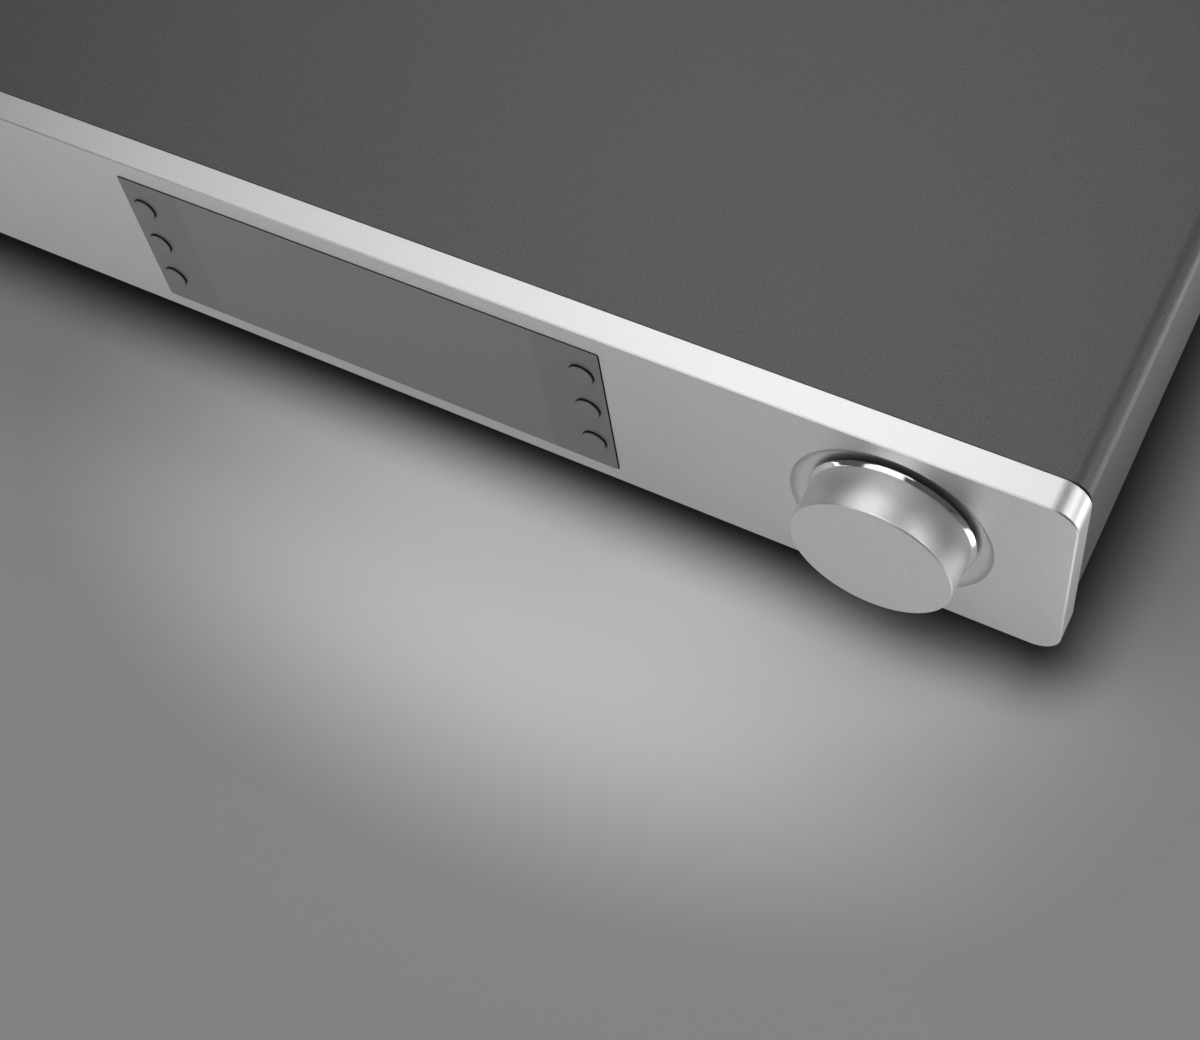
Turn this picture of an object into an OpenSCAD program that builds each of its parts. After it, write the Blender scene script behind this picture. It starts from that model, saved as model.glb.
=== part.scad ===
// Network music streamer: a full-width audio component with a thick aluminium
// front, a display window with six round buttons, one rotary knob, a folded
// steel case on four feet, and a row of sockets at the back.
// The origin is on the table, under the middle of the whole depth. +Z is up,
// the front looks along -Y, and +X is on the right of someone who faces it.

/* [Case] */
// Depth from the front plate's face to the rear edge of the cover
case_d = 280; // [250:1:340]
// Height of the front plate's lower edge above the table
plate_lift = 15.5; // [13:0.5:24]
// Thickness of the folded steel sheet
sheet_t = 1.2; // [0.8:0.1:1.6]
// How far the cover's sides stand in from the ends of the front plate
cover_inset = 0.5; // [0.2:0.1:2]
// How far the cover's top lies below the front plate's top edge
cover_drop = 0.6; // [0:0.1:2]
// Gap between the front plate's back and the cover's front edge
cover_front_gap = 0.4; // [0.2:0.1:1]
// Outer radius of the cover's two long bends
cover_bend_r = 5.5; // [3:0.5:10]
// Height of the cover's lower edges above the front plate's lower edge
cover_skirt = 18.8; // [14:0.1:24]
// Depth of the cover's turned-down lip at the rear
cover_lip = 9; // [7:0.5:10]
// How far the tray's walls stand in from the cover's sides
tray_inset = 12; // [8:1:16]
// Height of the tray's underside above the front plate's lower edge
tray_lift = 2; // [1:0.5:4]
// Height of the tray's side flanges inside the cover
tray_flange = 10; // [6:1:16]
// Depth of the feet that front frame and rear panel are folded to
fold_d = 12; // [9:1:16]

/* [Front plate] */
// Width of the front plate
plate_w = 430; // [420:1:450]
// Height of the front plate
plate_h = 69.5; // [68:0.5:80]
// Thickness of the front plate
plate_t = 9.5; // [8:0.5:12]
// Radius of the front plate's corners
plate_r = 8; // [3:0.5:12]
// Chamfer round the front plate's face
plate_chamfer = 0.6; // [0.2:0.1:1.5]

/* [Window and display] */
// Width of the window
window_w = 164; // [160:1:170]
// Height of the window
window_h = 56.6; // [54:0.2:58]
// Height of the window's lower edge above the plate's lower edge
window_up = 6; // [5:0.5:7]
// Radius of the window's corners
window_r = 2; // [1:0.5:4]
// Thickness of the tinted lens
lens_t = 3; // [2:0.5:4]
// How far the lens lies behind the plate's face
lens_recess = 0.5; // [0:0.1:1]
// Distance of the display module from the window's two ends
display_inset = 21; // [19:0.5:27]
// Thickness of the display module
display_t = 5.5; // [4:0.5:6]
// Wall of the carrier above and below the display module
carrier_wall = 1; // [0.8:0.1:2]
// How far the carrier's flange reaches past the window at each end
carrier_flange_x = 6; // [5:0.5:8]
// How far the carrier's flange reaches past the window above and below
carrier_flange_z = 1.4; // [1:0.1:1.6]
// Thickness of the carrier's flange
carrier_flange_t = 2; // [1.5:0.1:3]
// Length of the pillars that hold the front board
board_pillar = 4.5; // [4.5:0.1:7]

/* [Buttons] */
// Distance of each column of buttons from the window's end
button_inset = 6.6; // [6.4:0.1:8]
// Distance between one button and the next
button_pitch = 16.2; // [14:0.2:18]
// Height of the middle buttons above the plate's lower edge
button_up = 34.4; // [32:0.2:36]
// Radius of the button holes in the lens
button_hole_r = 4; // [3:0.1:4.4]
// Clearance round a button in its hole
button_gap = 0.2; // [0.15:0.05:0.4]
// How far the buttons stand out from the lens
button_proud = 1; // [0.6:0.1:1.5]
// How much wider a button's collar is than its hole
button_collar = 0.8; // [0.6:0.1:1]
// Thickness of a button's collar
button_collar_t = 1.2; // [0.8:0.1:1.6]
// Radius of a button's stem
button_stem_r = 2; // [1.5:0.1:2.5]
// Travel of every button
button_travel = 0.5; // [0.25:0.05:0.6]

/* [Knob] */
// Distance of the knob's axis from the front plate's right end
knob_inset = 48.9; // [42:0.1:55]
// Height of the knob's axis above the plate's lower edge
knob_up = 35.6; // [33:0.1:37]
// Radius of the knob
knob_r = 22.9; // [18:0.1:24]
// How far the knob stands out of the plate
knob_proud = 13.2; // [10:0.1:20]
// Thickness of the knob's front wall
knob_wall = 2.7; // [2:0.1:4]
// Thickness of the knob's skirt
knob_skirt = 2.6; // [2:0.1:4]
// Rounding of the knob's front edge
knob_round = 0.6; // [0.3:0.1:1.5]
// Outer radius of the polished ring behind the knob
ring_r = 24.1; // [24:0.1:26]
// Depth of the polished ring
ring_t = 1.1; // [0.9:0.1:1.5]
// Gap between the polished ring and the floor of the recess
ring_gap = 1.5; // [1.1:0.1:1.8]
// Radius of the dished recess round the knob
dish_r = 28.8; // [27:0.1:30]
// Depth of the dished recess
dish_d = 2; // [1.6:0.1:3]
// Radius of the cove at the edge of the dished recess
cove_r = 3.25; // [2:0.05:4]
// Travel of the knob when it is pressed
knob_travel = 0.8; // [0.4:0.1:1]

/* [Knob encoder] */
// Radius of the encoder's shaft
shaft_r = 3; // [2.5:0.1:3.2]
// Running clearance round the shaft
shaft_gap = 0.05; // [0.03:0.01:0.09]
// Depth of the flat on the shaft
shaft_flat = 1.5; // [1:0.1:2]
// Radius of the encoder's bush
bush_r = 4.5; // [4.3:0.1:5]
// How far the bush stands out of the recess
bush_proud = 4.2; // [3:0.1:5]
// Radius of the encoder's inner chamber
chamber_r = 4.6; // [4.4:0.1:5]
// Width and height of the encoder's body
encoder_w = 13.4; // [12:0.1:15]
// Depth of the encoder's body
encoder_d = 6.5; // [6.3:0.1:8]
// Width across the flats of the encoder's nut
nut_w = 12; // [11:0.1:14]
// Thickness of the encoder's nut
nut_t = 2; // [1.5:0.1:2.5]
// Thickness of the washer under the nut
washer_t = 0.5; // [0.3:0.1:1]
// Thickness of the plate that the encoder is clamped to
web_t = 2.5; // [2:0.1:3.5]
// Radius of the pocket behind the knob
pocket_r = 14; // [12:0.5:16]
// Width and height of the encoder's board
encoder_board_w = 24; // [20:1:27]

/* [Standby button] */
// Distance of the standby button from the front plate's left end
standby_inset = 28; // [24:0.5:34]
// Radius of the standby button
standby_r = 6; // [5:0.5:7]
// How far the standby button stands out of the plate
standby_proud = 0.6; // [0:0.1:2]
// Distance of the standby light from its button
light_up = 14; // [11:0.5:18]
// Radius of the standby light
light_r = 1.1; // [0.8:0.1:1.4]
// Width of the standby board
standby_board_w = 20; // [18:1:24]

/* [Feet] */
// Radius of each foot
foot_r = 21; // [16:0.5:26]
// Thickness of the pad that shows under each foot
pad_proud = 2; // [1.5:0.1:4]
// Radius of each foot's pad
pad_r = 16; // [12:0.5:19]
// Depth of the pad's seat in the foot
pad_seat = 1.4; // [1:0.1:2]
// Distance of the feet from the front plate's two ends
foot_inset = 47; // [41:1:75]
// Distance of the front feet from the plate's face
foot_front = 48; // [40:1:80]
// Distance of the rear feet from the rear edge of the cover
foot_rear = 42; // [38:1:80]

/* [Boards] */
// Thickness of every circuit board
board_t = 1.6; // [1:0.1:2]
// Height of the pillars under the boards
standoff_h = 7; // [6:0.5:9]
// Depth of the main board
main_d = 136; // [130:1:160]
// Distance of the main board's right edge from the tray's wall
main_side = 3.3; // [2:0.1:6]
// Distance between the power board and the main board
board_apart = 31; // [20:1:36]
// Width of the power board
power_w = 88; // [80:1:100]
// Depth of the power board
power_d = 132; // [120:1:140]
// Distance of the power board's left edge from the tray's wall
power_side = 4.3; // [2:0.1:6]
// Distance of the power board's rear edge from the rear panel
power_rear = 46; // [42:1:60]
// Height of the network module above the main board
module_up = 8; // [6:0.5:10]
// Height of the tallest parts on the power board
power_tall = 35; // [28:1:40]
// Height of the heat sink
sink_h = 30; // [20:1:38]

/* [Rear sockets] */
// How far the aerial sockets stand out behind the cover
aerial_proud = 11.8; // [9:0.1:14]
// Radius of the aerial sockets' threads
aerial_r = 3.15; // [3:0.05:3.3]
// Places of the aerial sockets, as shares of the panel's half width
aerial_at = [0.521, 0.87];
// Height of the aerial sockets above the plate's lower edge
aerial_up = 50; // [46:0.5:52]
// Radius of a phono socket's metal shell
phono_r = 4.15; // [4:0.05:4.3]
// Length of a phono socket's shell behind the panel
phono_l = 9.5; // [8:0.5:11]
// Radius of a phono socket's centre hole
phono_hole_r = 1.6; // [1.5:0.05:1.8]
// Distance between one phono socket and the one above it
phono_pitch = 15; // [14:0.5:18]
// Places of the pairs of phono sockets, as shares of the panel's half width
phono_at = [0.01, 0.14];
// Places of the balanced sockets, as shares of the panel's half width
balanced_at = [-0.316, -0.158];
// Height of the balanced sockets and mains parts above the plate's edge
rear_up = 33; // [31:0.5:36]
// Width of a balanced socket's flange
balanced_w = 26; // [25:0.5:28]
// Height of a balanced socket's flange
balanced_h = 31; // [29:0.5:33]
// Radius of a balanced socket's body
balanced_r = 11.8; // [11:0.1:12]
// Radius of a balanced socket's mouth
balanced_mouth_r = 9.4; // [9:0.1:9.6]
// Depth of a balanced socket's mouth
balanced_depth = 15; // [13:0.5:17]
// Radius of a balanced socket's contact pins
balanced_pin_r = 1.2; // [1:0.1:1.3]
// Radius of the circle that a balanced socket's contact pins stand on
balanced_ring_r = 4.6; // [4:0.1:5]
// Places of the optical sockets, as shares of the panel's half width
optical_at = [0.251, 0.326];
// Width of an optical socket
optical_w = 9.8; // [9.6:0.1:11]
// Height of an optical socket
optical_h = 10.4; // [10:0.1:12]
// Inner width and height of an optical socket
optical_in = 8.2; // [7.8:0.1:8.4]
// Depth of an optical socket's chamber
optical_depth = 12; // [11:0.5:14]
// Thickness of an optical socket's shutter
shutter_t = 0.8; // [0.6:0.1:0.9]
// Place of the square data socket, as a share of the panel's half width
data_at = 0.428; // [0.424:0.001:0.434]
// Place of the flat data socket, as a share of the panel's half width
flat_at = 0.54; // [0.53:0.001:0.55]
// Place of the network socket, as a share of the panel's half width
network_at = 0.665; // [0.655:0.001:0.675]
// Places of the control jacks, as shares of the panel's half width
jack_at = [0.777, 0.851];
// Radius of a control jack's hole
jack_hole_r = 1.8; // [1.75:0.05:1.9]
// Depth of a control jack's hole
jack_depth = 14; // [13:0.5:15]
// Place of the mains inlet, as a share of the panel's half width
inlet_at = -0.8; // [-0.82:0.005:-0.78]
// Width of the mains inlet's flange
inlet_w = 50; // [48:0.5:51]
// Height of the mains inlet's flange
inlet_h = 22.5; // [22:0.5:24]
// Distance between the mains inlet's two screws
inlet_screw_pitch = 40; // [39:0.5:41]
// Place of the mains switch, as a share of the panel's half width
switch_at = -0.595; // [-0.61:0.005:-0.57]
// Width of the mains switch's bezel
switch_w = 15; // [14:0.5:17]
// Height of the mains switch's bezel
switch_h = 21; // [20:0.5:24]
// Angle that the mains rocker turns through
rocker_turn = 24; // [16:1:28]

/* [Fasteners and clearances] */
// Radius of the small screws
screw_r = 1.5; // [1.2:0.1:1.6]
// Radius of the small screws' heads
screw_head_r = 2.8; // [2.4:0.1:3]
// Radius of the screws in front plate and feet
big_screw_r = 2; // [1.8:0.1:2.2]
// Radius of the big screws' heads
big_head_r = 3.6; // [3.2:0.1:4]
// Clearance between pieces that are fitted together
fit_gap = 0.3; // [0.2:0.05:0.4]
// Clearance round a screw in its hole
screw_gap = 0.15; // [0.1:0.05:0.3]

/* [Hidden] */
$fn = 96;
cut = 1;        // how far a cutting shape runs past what it cuts
hair = 0.1;     // gap between faces that would otherwise just touch

// places along Y
overall_d = knob_proud + case_d + aerial_proud;
y_face = knob_proud - overall_d / 2;
y_plate = y_face + plate_t;
y_frame = y_plate + sheet_t;
y_rear = y_face + case_d;
y_panel = y_rear - sheet_t;
y_panel_in = y_panel - sheet_t;

// places up and across
z_plate_mid = plate_lift + plate_h / 2;
z_cover = plate_lift + plate_h - cover_drop;
z_cover_in = z_cover - sheet_t;
z_tray = plate_lift + tray_lift;
z_floor = z_tray + sheet_t;
z_skirt = plate_lift + cover_skirt;
z_ledge = z_skirt + fit_gap;
x_cover = plate_w / 2 - cover_inset;
x_cover_in = x_cover - sheet_t;
x_tray = x_cover - tray_inset;
x_tray_in = x_tray - sheet_t;
x_flange = x_cover_in - fit_gap;
bend_in_r = max(cover_bend_r - sheet_t, 0.5);

// window, lens, display and carrier
z_window = plate_lift + window_up + window_h / 2;
y_lens = y_face + lens_recess;
y_lens_back = y_lens + lens_t;
lens_w = window_w - 2 * fit_gap;
lens_h = window_h - 2 * fit_gap;
lens_r = max(window_r - fit_gap, 0.5);
display_w = window_w - 2 * display_inset;
display_h = lens_h - 2 * carrier_wall;
y_display = y_lens_back + display_t;
y_carrier = y_frame + carrier_flange_t;
y_board = y_carrier + board_pillar;
front_board_w = window_w + 8;
front_board_h = window_h + 2;
carrier_screw_x = window_w / 2 + carrier_flange_x / 2;
carrier_screw_z = window_h / 2 - 16;
pillar_r = 3;
pillar_x = window_w / 2 - 1;
pillar_z = window_h / 2 - 4;
header_w = 34;
header_h = 6;
header_t = 4;
z_header = z_window - front_board_h / 2 + header_h;

// buttons and the small switches behind them
button_x = window_w / 2 - button_inset;
switch_body = 3.5;
switch_stem = 1;
switch_wide = 6;
button_r = button_hole_r - button_gap;
collar_r = button_hole_r + button_collar;
y_button = y_lens - button_proud;
y_collar = y_lens_back + hair;
y_stem = y_board - switch_body - switch_stem - button_travel - hair;
collar_pocket = hair + button_collar_t + button_travel + hair;
receiver_x = (display_w / 2 + fit_gap + button_x - collar_r - fit_gap) / 2;
receiver_r = 2.2;
receiver_z = z_window - 12;
button_places = [for (x = [-button_x, button_x]) for (k = [1, 0, -1])
    [x, plate_lift + button_up + k * button_pitch]];

// knob and encoder
knob_x = plate_w / 2 - knob_inset;
z_knob = plate_lift + knob_up;
y_knob = y_face - knob_proud;
y_web = y_face + dish_d;
y_ring = y_web - ring_gap - ring_t;
y_pocket = y_web + web_t;
y_bush = y_web - bush_proud;
y_encoder = y_pocket + encoder_d;
y_chamber = y_pocket + 0.5;
chamber_d = 3.9;
shaft_flange_r = chamber_r - 0.4;
shaft_flange_t = 1.5;
plunger_r = chamber_r - 1;
y_plunger = y_chamber + hair + shaft_flange_t + hair;
plunger_t = chamber_d - 3 * hair - shaft_flange_t - knob_travel;
boss_r = shaft_r + 3.4;
boss_l = 6.6;
grip_l = 7;
frame_knob_r = encoder_w * 0.75 + 1;

// standby button
x_standby = standby_inset - plate_w / 2;
z_standby = z_knob;
z_light = z_standby + light_up;
standby_collar_r = standby_r + 1.4;
post_r = 2.2;
post_zs = [z_standby - standby_collar_r - post_r - 1, z_light + light_r + post_r + 2];
post_edge = 4;

// feet
foot_x = plate_w / 2 - foot_inset;
foot_places = [[-foot_x, y_face + foot_front], [foot_x, y_face + foot_front],
    [-foot_x, y_rear - foot_rear], [foot_x, y_rear - foot_rear]];

// boards
z_board_low = z_floor + standoff_h;
z_board = z_board_low + board_t;
power_x = [power_side - x_tray_in, power_side - x_tray_in + power_w];
main_x = [power_x[1] + board_apart, x_tray_in - main_side];
main_y = [y_panel_in - 1 - main_d, y_panel_in - 1];
power_y = [y_panel - power_rear - power_d, y_panel - power_rear];
hole_in = 6;
rear_hole_in = 22;
main_holes = [for (x = [main_x[0] + hole_in, (main_x[0] + main_x[1]) / 2, main_x[1] - hole_in])
    for (y = [main_y[0] + hole_in, main_y[1] - rear_hole_in]) [x, y]];
power_holes = [for (x = [power_x[0] + hole_in, power_x[1] - hole_in])
    for (y = [power_y[0] + hole_in, power_y[1] - hole_in]) [x, y]];
module_w = 62;
module_d = 54;
module_side = 26;
module_rear = 38;
module_x = [main_x[1] - module_side - module_w, main_x[1] - module_side];
module_y = [main_y[1] - module_rear - module_d, main_y[1] - module_rear];
z_module = z_board + module_up;

// parts on the boards; a place is counted from a board's front left corner
chips = [[14, 40, 18, 18], [50, 50, 14, 14], [84, 32, 10, 10], [90, 76, 20, 12], [122, 64, 9, 9]];
chip_t = 1.4;
small_cap_r = 4;
small_cap_h = 12;
small_cap_step = 12;
large_cap_r = 9;
large_cap_h = 22;
large_cap_step = 24;
cap_row = 20;
store_cap_r = 12;
store_cap_at = [22, 76];
choke_r = 11;
choke_hole_r = 5;
choke_h = 12;
choke_at = [24, 104];
transformer_at = [16, 26];
transformer_w = 36;
transformer_d = 32;
transformer_h = 27;
output_cap_r = 5;
output_cap_h = 20;
output_cap_step = 14;
output_cap_at = [18, 16];
sink_side = 18;
sink_wall = 3;
sink_fin = 10;
sink_fin_t = 1.4;
sink_fin_step = 7;
sink_ends = [20, 24];

// rear sockets
function across(share) = share * plate_w / 2;
aerial_xs = [for (s = aerial_at) across(s)];
phono_xs = [for (s = phono_at) across(s)];
balanced_xs = [for (s = balanced_at) across(s)];
optical_xs = [for (s = optical_at) across(s)];
jack_xs = [for (s = jack_at) across(s)];
data_x = across(data_at);
flat_x = across(flat_at);
network_x = across(network_at);
inlet_x = across(inlet_at);
switch_x = across(switch_at);
z_rear = plate_lift + rear_up;
z_aerial = plate_lift + aerial_up;
phono_first = 9;
phono_zs = [z_board + phono_first, z_board + phono_first + phono_pitch];
phono_body_w = 12;
phono_body_d = 14;
phono_collar_r = phono_r + 1;
phono_wall = 0.9;
optical_wall = (optical_w - optical_in) / 2;
y_optical = y_panel + 0.6;
z_optical = z_board + optical_h / 2;
knuckle_r = shutter_t / 2;
z_knuckle = z_optical + optical_in / 2 - knuckle_r - hair;
y_knuckle = y_optical - 0.5 - knuckle_r;
shutter_drop = optical_in - 2 * knuckle_r - 2 * hair;
knuckle_pin_r = 0.3;
knuckle_stub = 0.4;
network_w = 16;
network_h = 13.6;
network_d = 21;
square_w = 12;
square_h = 11;
flat_w = 13.2;
flat_h = 6.8;
data_d = 15;
jack_w = 9;
jack_h = 9;
jack_nose_r = 3;
inlet_body_w = 27;
inlet_body_h = 19.5;
inlet_in_w = 24.2;
inlet_in_h = 16;
inlet_depth = 16;
inlet_flange_t = 3;
inlet_corner = 4;
contact_w = 2;
contact_h = 4;
contact_tail = 12;
contact_reach = 3;
inlet_contacts = [[-7, -2], [7, -2], [0, 2]];
end_wall = 3;
switch_bezel_t = 2;
switch_body_w = 13;
switch_body_h = 19;
switch_body_d = 18;
tab_step = 5;
tab_l = 8;
wire_r = 1.2;
rocker_w = 10.4;
rocker_h = 15.4;
rocker_pin_r = 1.2;
rocker_stub = 0.6;
y_rocker = y_panel - 1.2;
socket_proud = 0.5;
balanced_flange_t = 2.5;
balanced_screw = [balanced_w / 2 - 3.2, balanced_h / 2 - 3.2];
balanced_angles = [30, 150, 270];
balanced_end_wall = 4;
balanced_tail = 4;

// screws
screw_l = 6;
foot_nut_t = 3;
cover_screw_z = z_cover - cover_lip / 2 - 0.4;
case_screw_in = 65;
case_screw_step = (plate_w - 2 * case_screw_in) / 3;
cover_screw_xs = [for (k = [-1.5:1:1.5]) k * case_screw_step];
fold_screw_xs = cover_screw_xs;
plate_screw_z = 20;
plate_screw_x = window_w / 2 + 23;
knob_screw_x = dish_r + 0.8;
plate_screw_xs = [x_standby + 37, -plate_screw_x, plate_screw_x,
    knob_x - knob_screw_x, knob_x + knob_screw_x];
plate_screws_at = [for (x = plate_screw_xs) for (s = [-1, 1]) [x, z_plate_mid + s * plate_screw_z]];

// helper shapes
module along_y(y0, y1) translate([0, y1, 0]) rotate([90, 0, 0]) linear_extrude(y1 - y0) children();

module rod_y(x, z, r, y0, y1) translate([x, y0, z]) rotate([-90, 0, 0]) cylinder(r = r, h = y1 - y0);

module slab(xs, ys, zs) translate([xs[0], ys[0], zs[0]])
    cube([xs[1] - xs[0], ys[1] - ys[0], zs[1] - zs[0]]);

module box_at(x, z, w, h, y0, y1) slab([x - w / 2, x + w / 2], [y0, y1], [z - h / 2, z + h / 2]);

module round_rect(w, h, r) {
    square([w - 2 * r, h], center = true);
    square([w, h - 2 * r], center = true);
    for (x = [-1, 1]) for (y = [-1, 1]) translate([x * (w / 2 - r), y * (h / 2 - r)]) circle(r);
}

// an outline with a flat foot at low, rounded at its two upper corners
module round_top(half, low, high, r) {
    translate([-half, low]) square([2 * half, high - low - r]);
    translate([r - half, low]) square([2 * (half - r), high - low]);
    for (x = [-1, 1]) translate([x * (half - r), high - r]) circle(r);
}

// a pan-head screw whose shank points down from z = 0
module screw(r, length, head_r) {
    head_h = head_r * 0.65;
    difference() {
        union() {
            cylinder(r = head_r, h = head_h);
            translate([0, 0, -length]) cylinder(r = r, h = length);
        }
        for (a = [0, 90])
            rotate(a) translate([-head_r * 0.6, -0.35, head_h / 2]) cube([head_r * 1.2, 0.7, head_h]);
    }
}

// a tube of k sides swept along a cubic curve from a to b, which leaves a
// along da and reaches b against db; side is square to the curve's plane
function curve(a, da, b, db, t) = pow(1 - t, 3) * a + 3 * pow(1 - t, 2) * t * (a + da)
    + 3 * (1 - t) * t * t * (b + db) + t * t * t * b;
function unit(v) = v / norm(v);
module swept(a, da, b, db, side, section, steps = 16) {
    path = [for (i = [0:steps]) curve(a, da, b, db, i / steps)];
    run = [for (i = [0:steps]) unit(path[min(i + 1, steps)] - path[max(i - 1, 0)])];
    heading = [for (i = [0:steps]) i == 0 ? unit(da) : i == steps ? -unit(db) : run[i]];
    k = len(section);
    points = [for (i = [0:steps]) let (u = unit(cross(side, heading[i])), v = unit(cross(heading[i], u)))
        for (s = section) path[i] + s[0] * v + s[1] * u];
    sides = [for (i = [0:steps - 1]) for (j = [0:k - 1])
        [i * k + j, i * k + (j + 1) % k, (i + 1) * k + (j + 1) % k, (i + 1) * k + j]];
    polyhedron(points, concat([[for (j = [k - 1:-1:0]) j]], [[for (j = [0:k - 1]) steps * k + j]], sides));
}
function ring(r, k = 8) = [for (j = [0:k - 1]) r * [cos(360 * j / k), sin(360 * j / k)]];
function band(w, t) = [[-w / 2, -t / 2], [w / 2, -t / 2], [w / 2, t / 2], [-w / 2, t / 2]];

module window_outline(grow, r) translate([0, z_window])
    round_rect(window_w + 2 * grow, window_h + 2 * grow, r);

module front_plate() {
    r0 = cove_start();
    color("silver") difference() {
        hull() for (x = [-1, 1]) for (z = [-1, 1])
            translate([x * (plate_w / 2 - plate_r), y_face, z_plate_mid + z * (plate_h / 2 - plate_r)])
                rotate([-90, 0, 0]) {
                    cylinder(r1 = plate_r - plate_chamfer, r2 = plate_r, h = plate_chamfer, $fn = 48);
                    cylinder(r = plate_r - plate_chamfer, h = plate_t, $fn = 48);
                    translate([0, 0, plate_chamfer])
                        cylinder(r = plate_r, h = plate_t - plate_chamfer, $fn = 48);
                }
        along_y(y_face - cut, y_plate + cut) window_outline(0, window_r);
        translate([knob_x, y_face, z_knob]) rotate([-90, 0, 0]) rotate_extrude() {
            translate([0, -cut]) square([r0, dish_d + cut]);
            intersection() {
                translate([r0, dish_d - cove_r]) circle(cove_r);
                translate([r0 - cut, -cut / 2]) square([cove_r + 2 * cut, dish_d + cut / 2]);
            }
        }
        rod_y(knob_x, z_knob, bush_r + hair, y_face, y_plate);
        rod_y(knob_x, z_knob, pocket_r, y_pocket, y_plate + cut);
        rod_y(x_standby, z_standby, standby_r + button_gap, y_face - cut, y_plate + cut);
        rod_y(x_standby, z_light, light_r + hair, y_face - cut, y_plate + cut);
        for (p = plate_screws_at)
            rod_y(p[0], p[1], big_screw_r + screw_gap, y_plate - screw_l, y_plate + cut);
        for (x = [-1, 1]) for (z = [-1, 1])
            rod_y(x * carrier_screw_x, z_window + z * carrier_screw_z, screw_r + screw_gap,
                y_plate - screw_l, y_plate + cut);
    }
}
function cove_start() = dish_r - sqrt(cove_r * cove_r - pow(cove_r - dish_d, 2));

module front_frame() {
    half = x_tray_in - fit_gap;
    color("gray") difference() {
        union() {
            slab([-half, half], [y_plate, y_frame], [z_floor, z_cover_in - fit_gap]);
            slab([-half, half], [y_plate, y_plate + fold_d], [z_floor, z_floor + sheet_t]);
            slab([-half + 4, half - 4], [y_plate, y_plate + fold_d],
                [z_cover_in - fit_gap - sheet_t, z_cover_in - fit_gap]);
            for (z = post_zs) rod_y(x_standby, z, post_r, y_plate + hair, y_board);
        }
        along_y(y_plate - cut, y_frame + cut) window_outline(hair, window_r);
        rod_y(knob_x, z_knob, frame_knob_r, y_plate - cut, y_frame + cut);
        rod_y(x_standby, z_standby, standby_r + 2 * button_gap, y_plate - cut, y_frame + cut);
        rod_y(x_standby, z_light, light_r + 2 * hair, y_plate - cut, y_frame + cut);
        for (p = plate_screws_at) rod_y(p[0], p[1], big_screw_r + screw_gap, y_plate - cut, y_frame + cut);
        for (x = [-1, 1]) for (z = [-1, 1])
            rod_y(x * carrier_screw_x, z_window + z * carrier_screw_z, screw_r + screw_gap,
                y_plate - cut, y_frame + cut);
        for (x = fold_screw_xs) translate([x, y_plate + fold_d / 2, z_floor - cut])
            cylinder(r = screw_r + screw_gap, h = sheet_t + 2 * cut);
    }
}

module tray_profile() {
    translate([-x_tray, z_tray]) square([2 * x_tray, sheet_t]);
    for (s = [0, 1]) mirror([s, 0]) {
        translate([x_tray_in, z_tray]) square([sheet_t, z_ledge + sheet_t - z_tray]);
        translate([x_tray_in, z_ledge]) square([x_flange - x_tray_in, sheet_t]);
        translate([x_flange - sheet_t, z_ledge]) square([sheet_t, tray_flange]);
    }
}

module base_tray() {
    slot_l = 32;
    slot_w = 3;
    slot_pitch = 8;
    power_rows = [power_y[0] + 26, power_y[0] + 70];
    main_row = main_y[0] + 30;
    color("dimgray") difference() {
        along_y(y_plate, y_panel_in) tray_profile();
        for (x = [power_x[0] + 16:slot_pitch:power_x[1] - 12], y = power_rows)
            slab([x, x + slot_w], [y, y + slot_l], [z_tray - cut, z_floor + cut]);
        for (x = [main_x[0] + 60:slot_pitch:main_x[1] - 110])
            slab([x, x + slot_w], [main_row, main_row + slot_l], [z_tray - cut, z_floor + cut]);
        for (p = foot_places) translate([p[0], p[1], z_tray - cut])
            cylinder(r = big_screw_r + screw_gap, h = sheet_t + 2 * cut);
        for (p = concat(main_holes, power_holes)) translate([p[0], p[1], z_tray - cut])
            cylinder(r = screw_r + screw_gap, h = sheet_t + 2 * cut);
        for (x = fold_screw_xs, y = [y_plate + fold_d / 2, y_panel_in - fold_d / 2])
            translate([x, y, z_tray - cut]) cylinder(r = screw_r + screw_gap, h = sheet_t + 2 * cut);
    }
}

module top_cover() {
    y_front = y_plate + cover_front_gap;
    color("dimgray") difference() {
        union() {
            difference() {
                along_y(y_front, y_rear) round_top(x_cover, z_skirt, z_cover, cover_bend_r);
                along_y(y_front - cut, y_rear + cut)
                    round_top(x_cover_in, z_skirt - cut, z_cover_in, bend_in_r);
            }
            along_y(y_panel, y_rear) intersection() {
                round_top(x_cover, z_skirt, z_cover, cover_bend_r);
                translate([-x_cover, z_cover - cover_lip]) square([2 * x_cover, cover_lip]);
            }
        }
        for (x = cover_screw_xs) rod_y(x, cover_screw_z, screw_r + screw_gap, y_panel - cut, y_rear + cut);
    }
}

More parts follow.
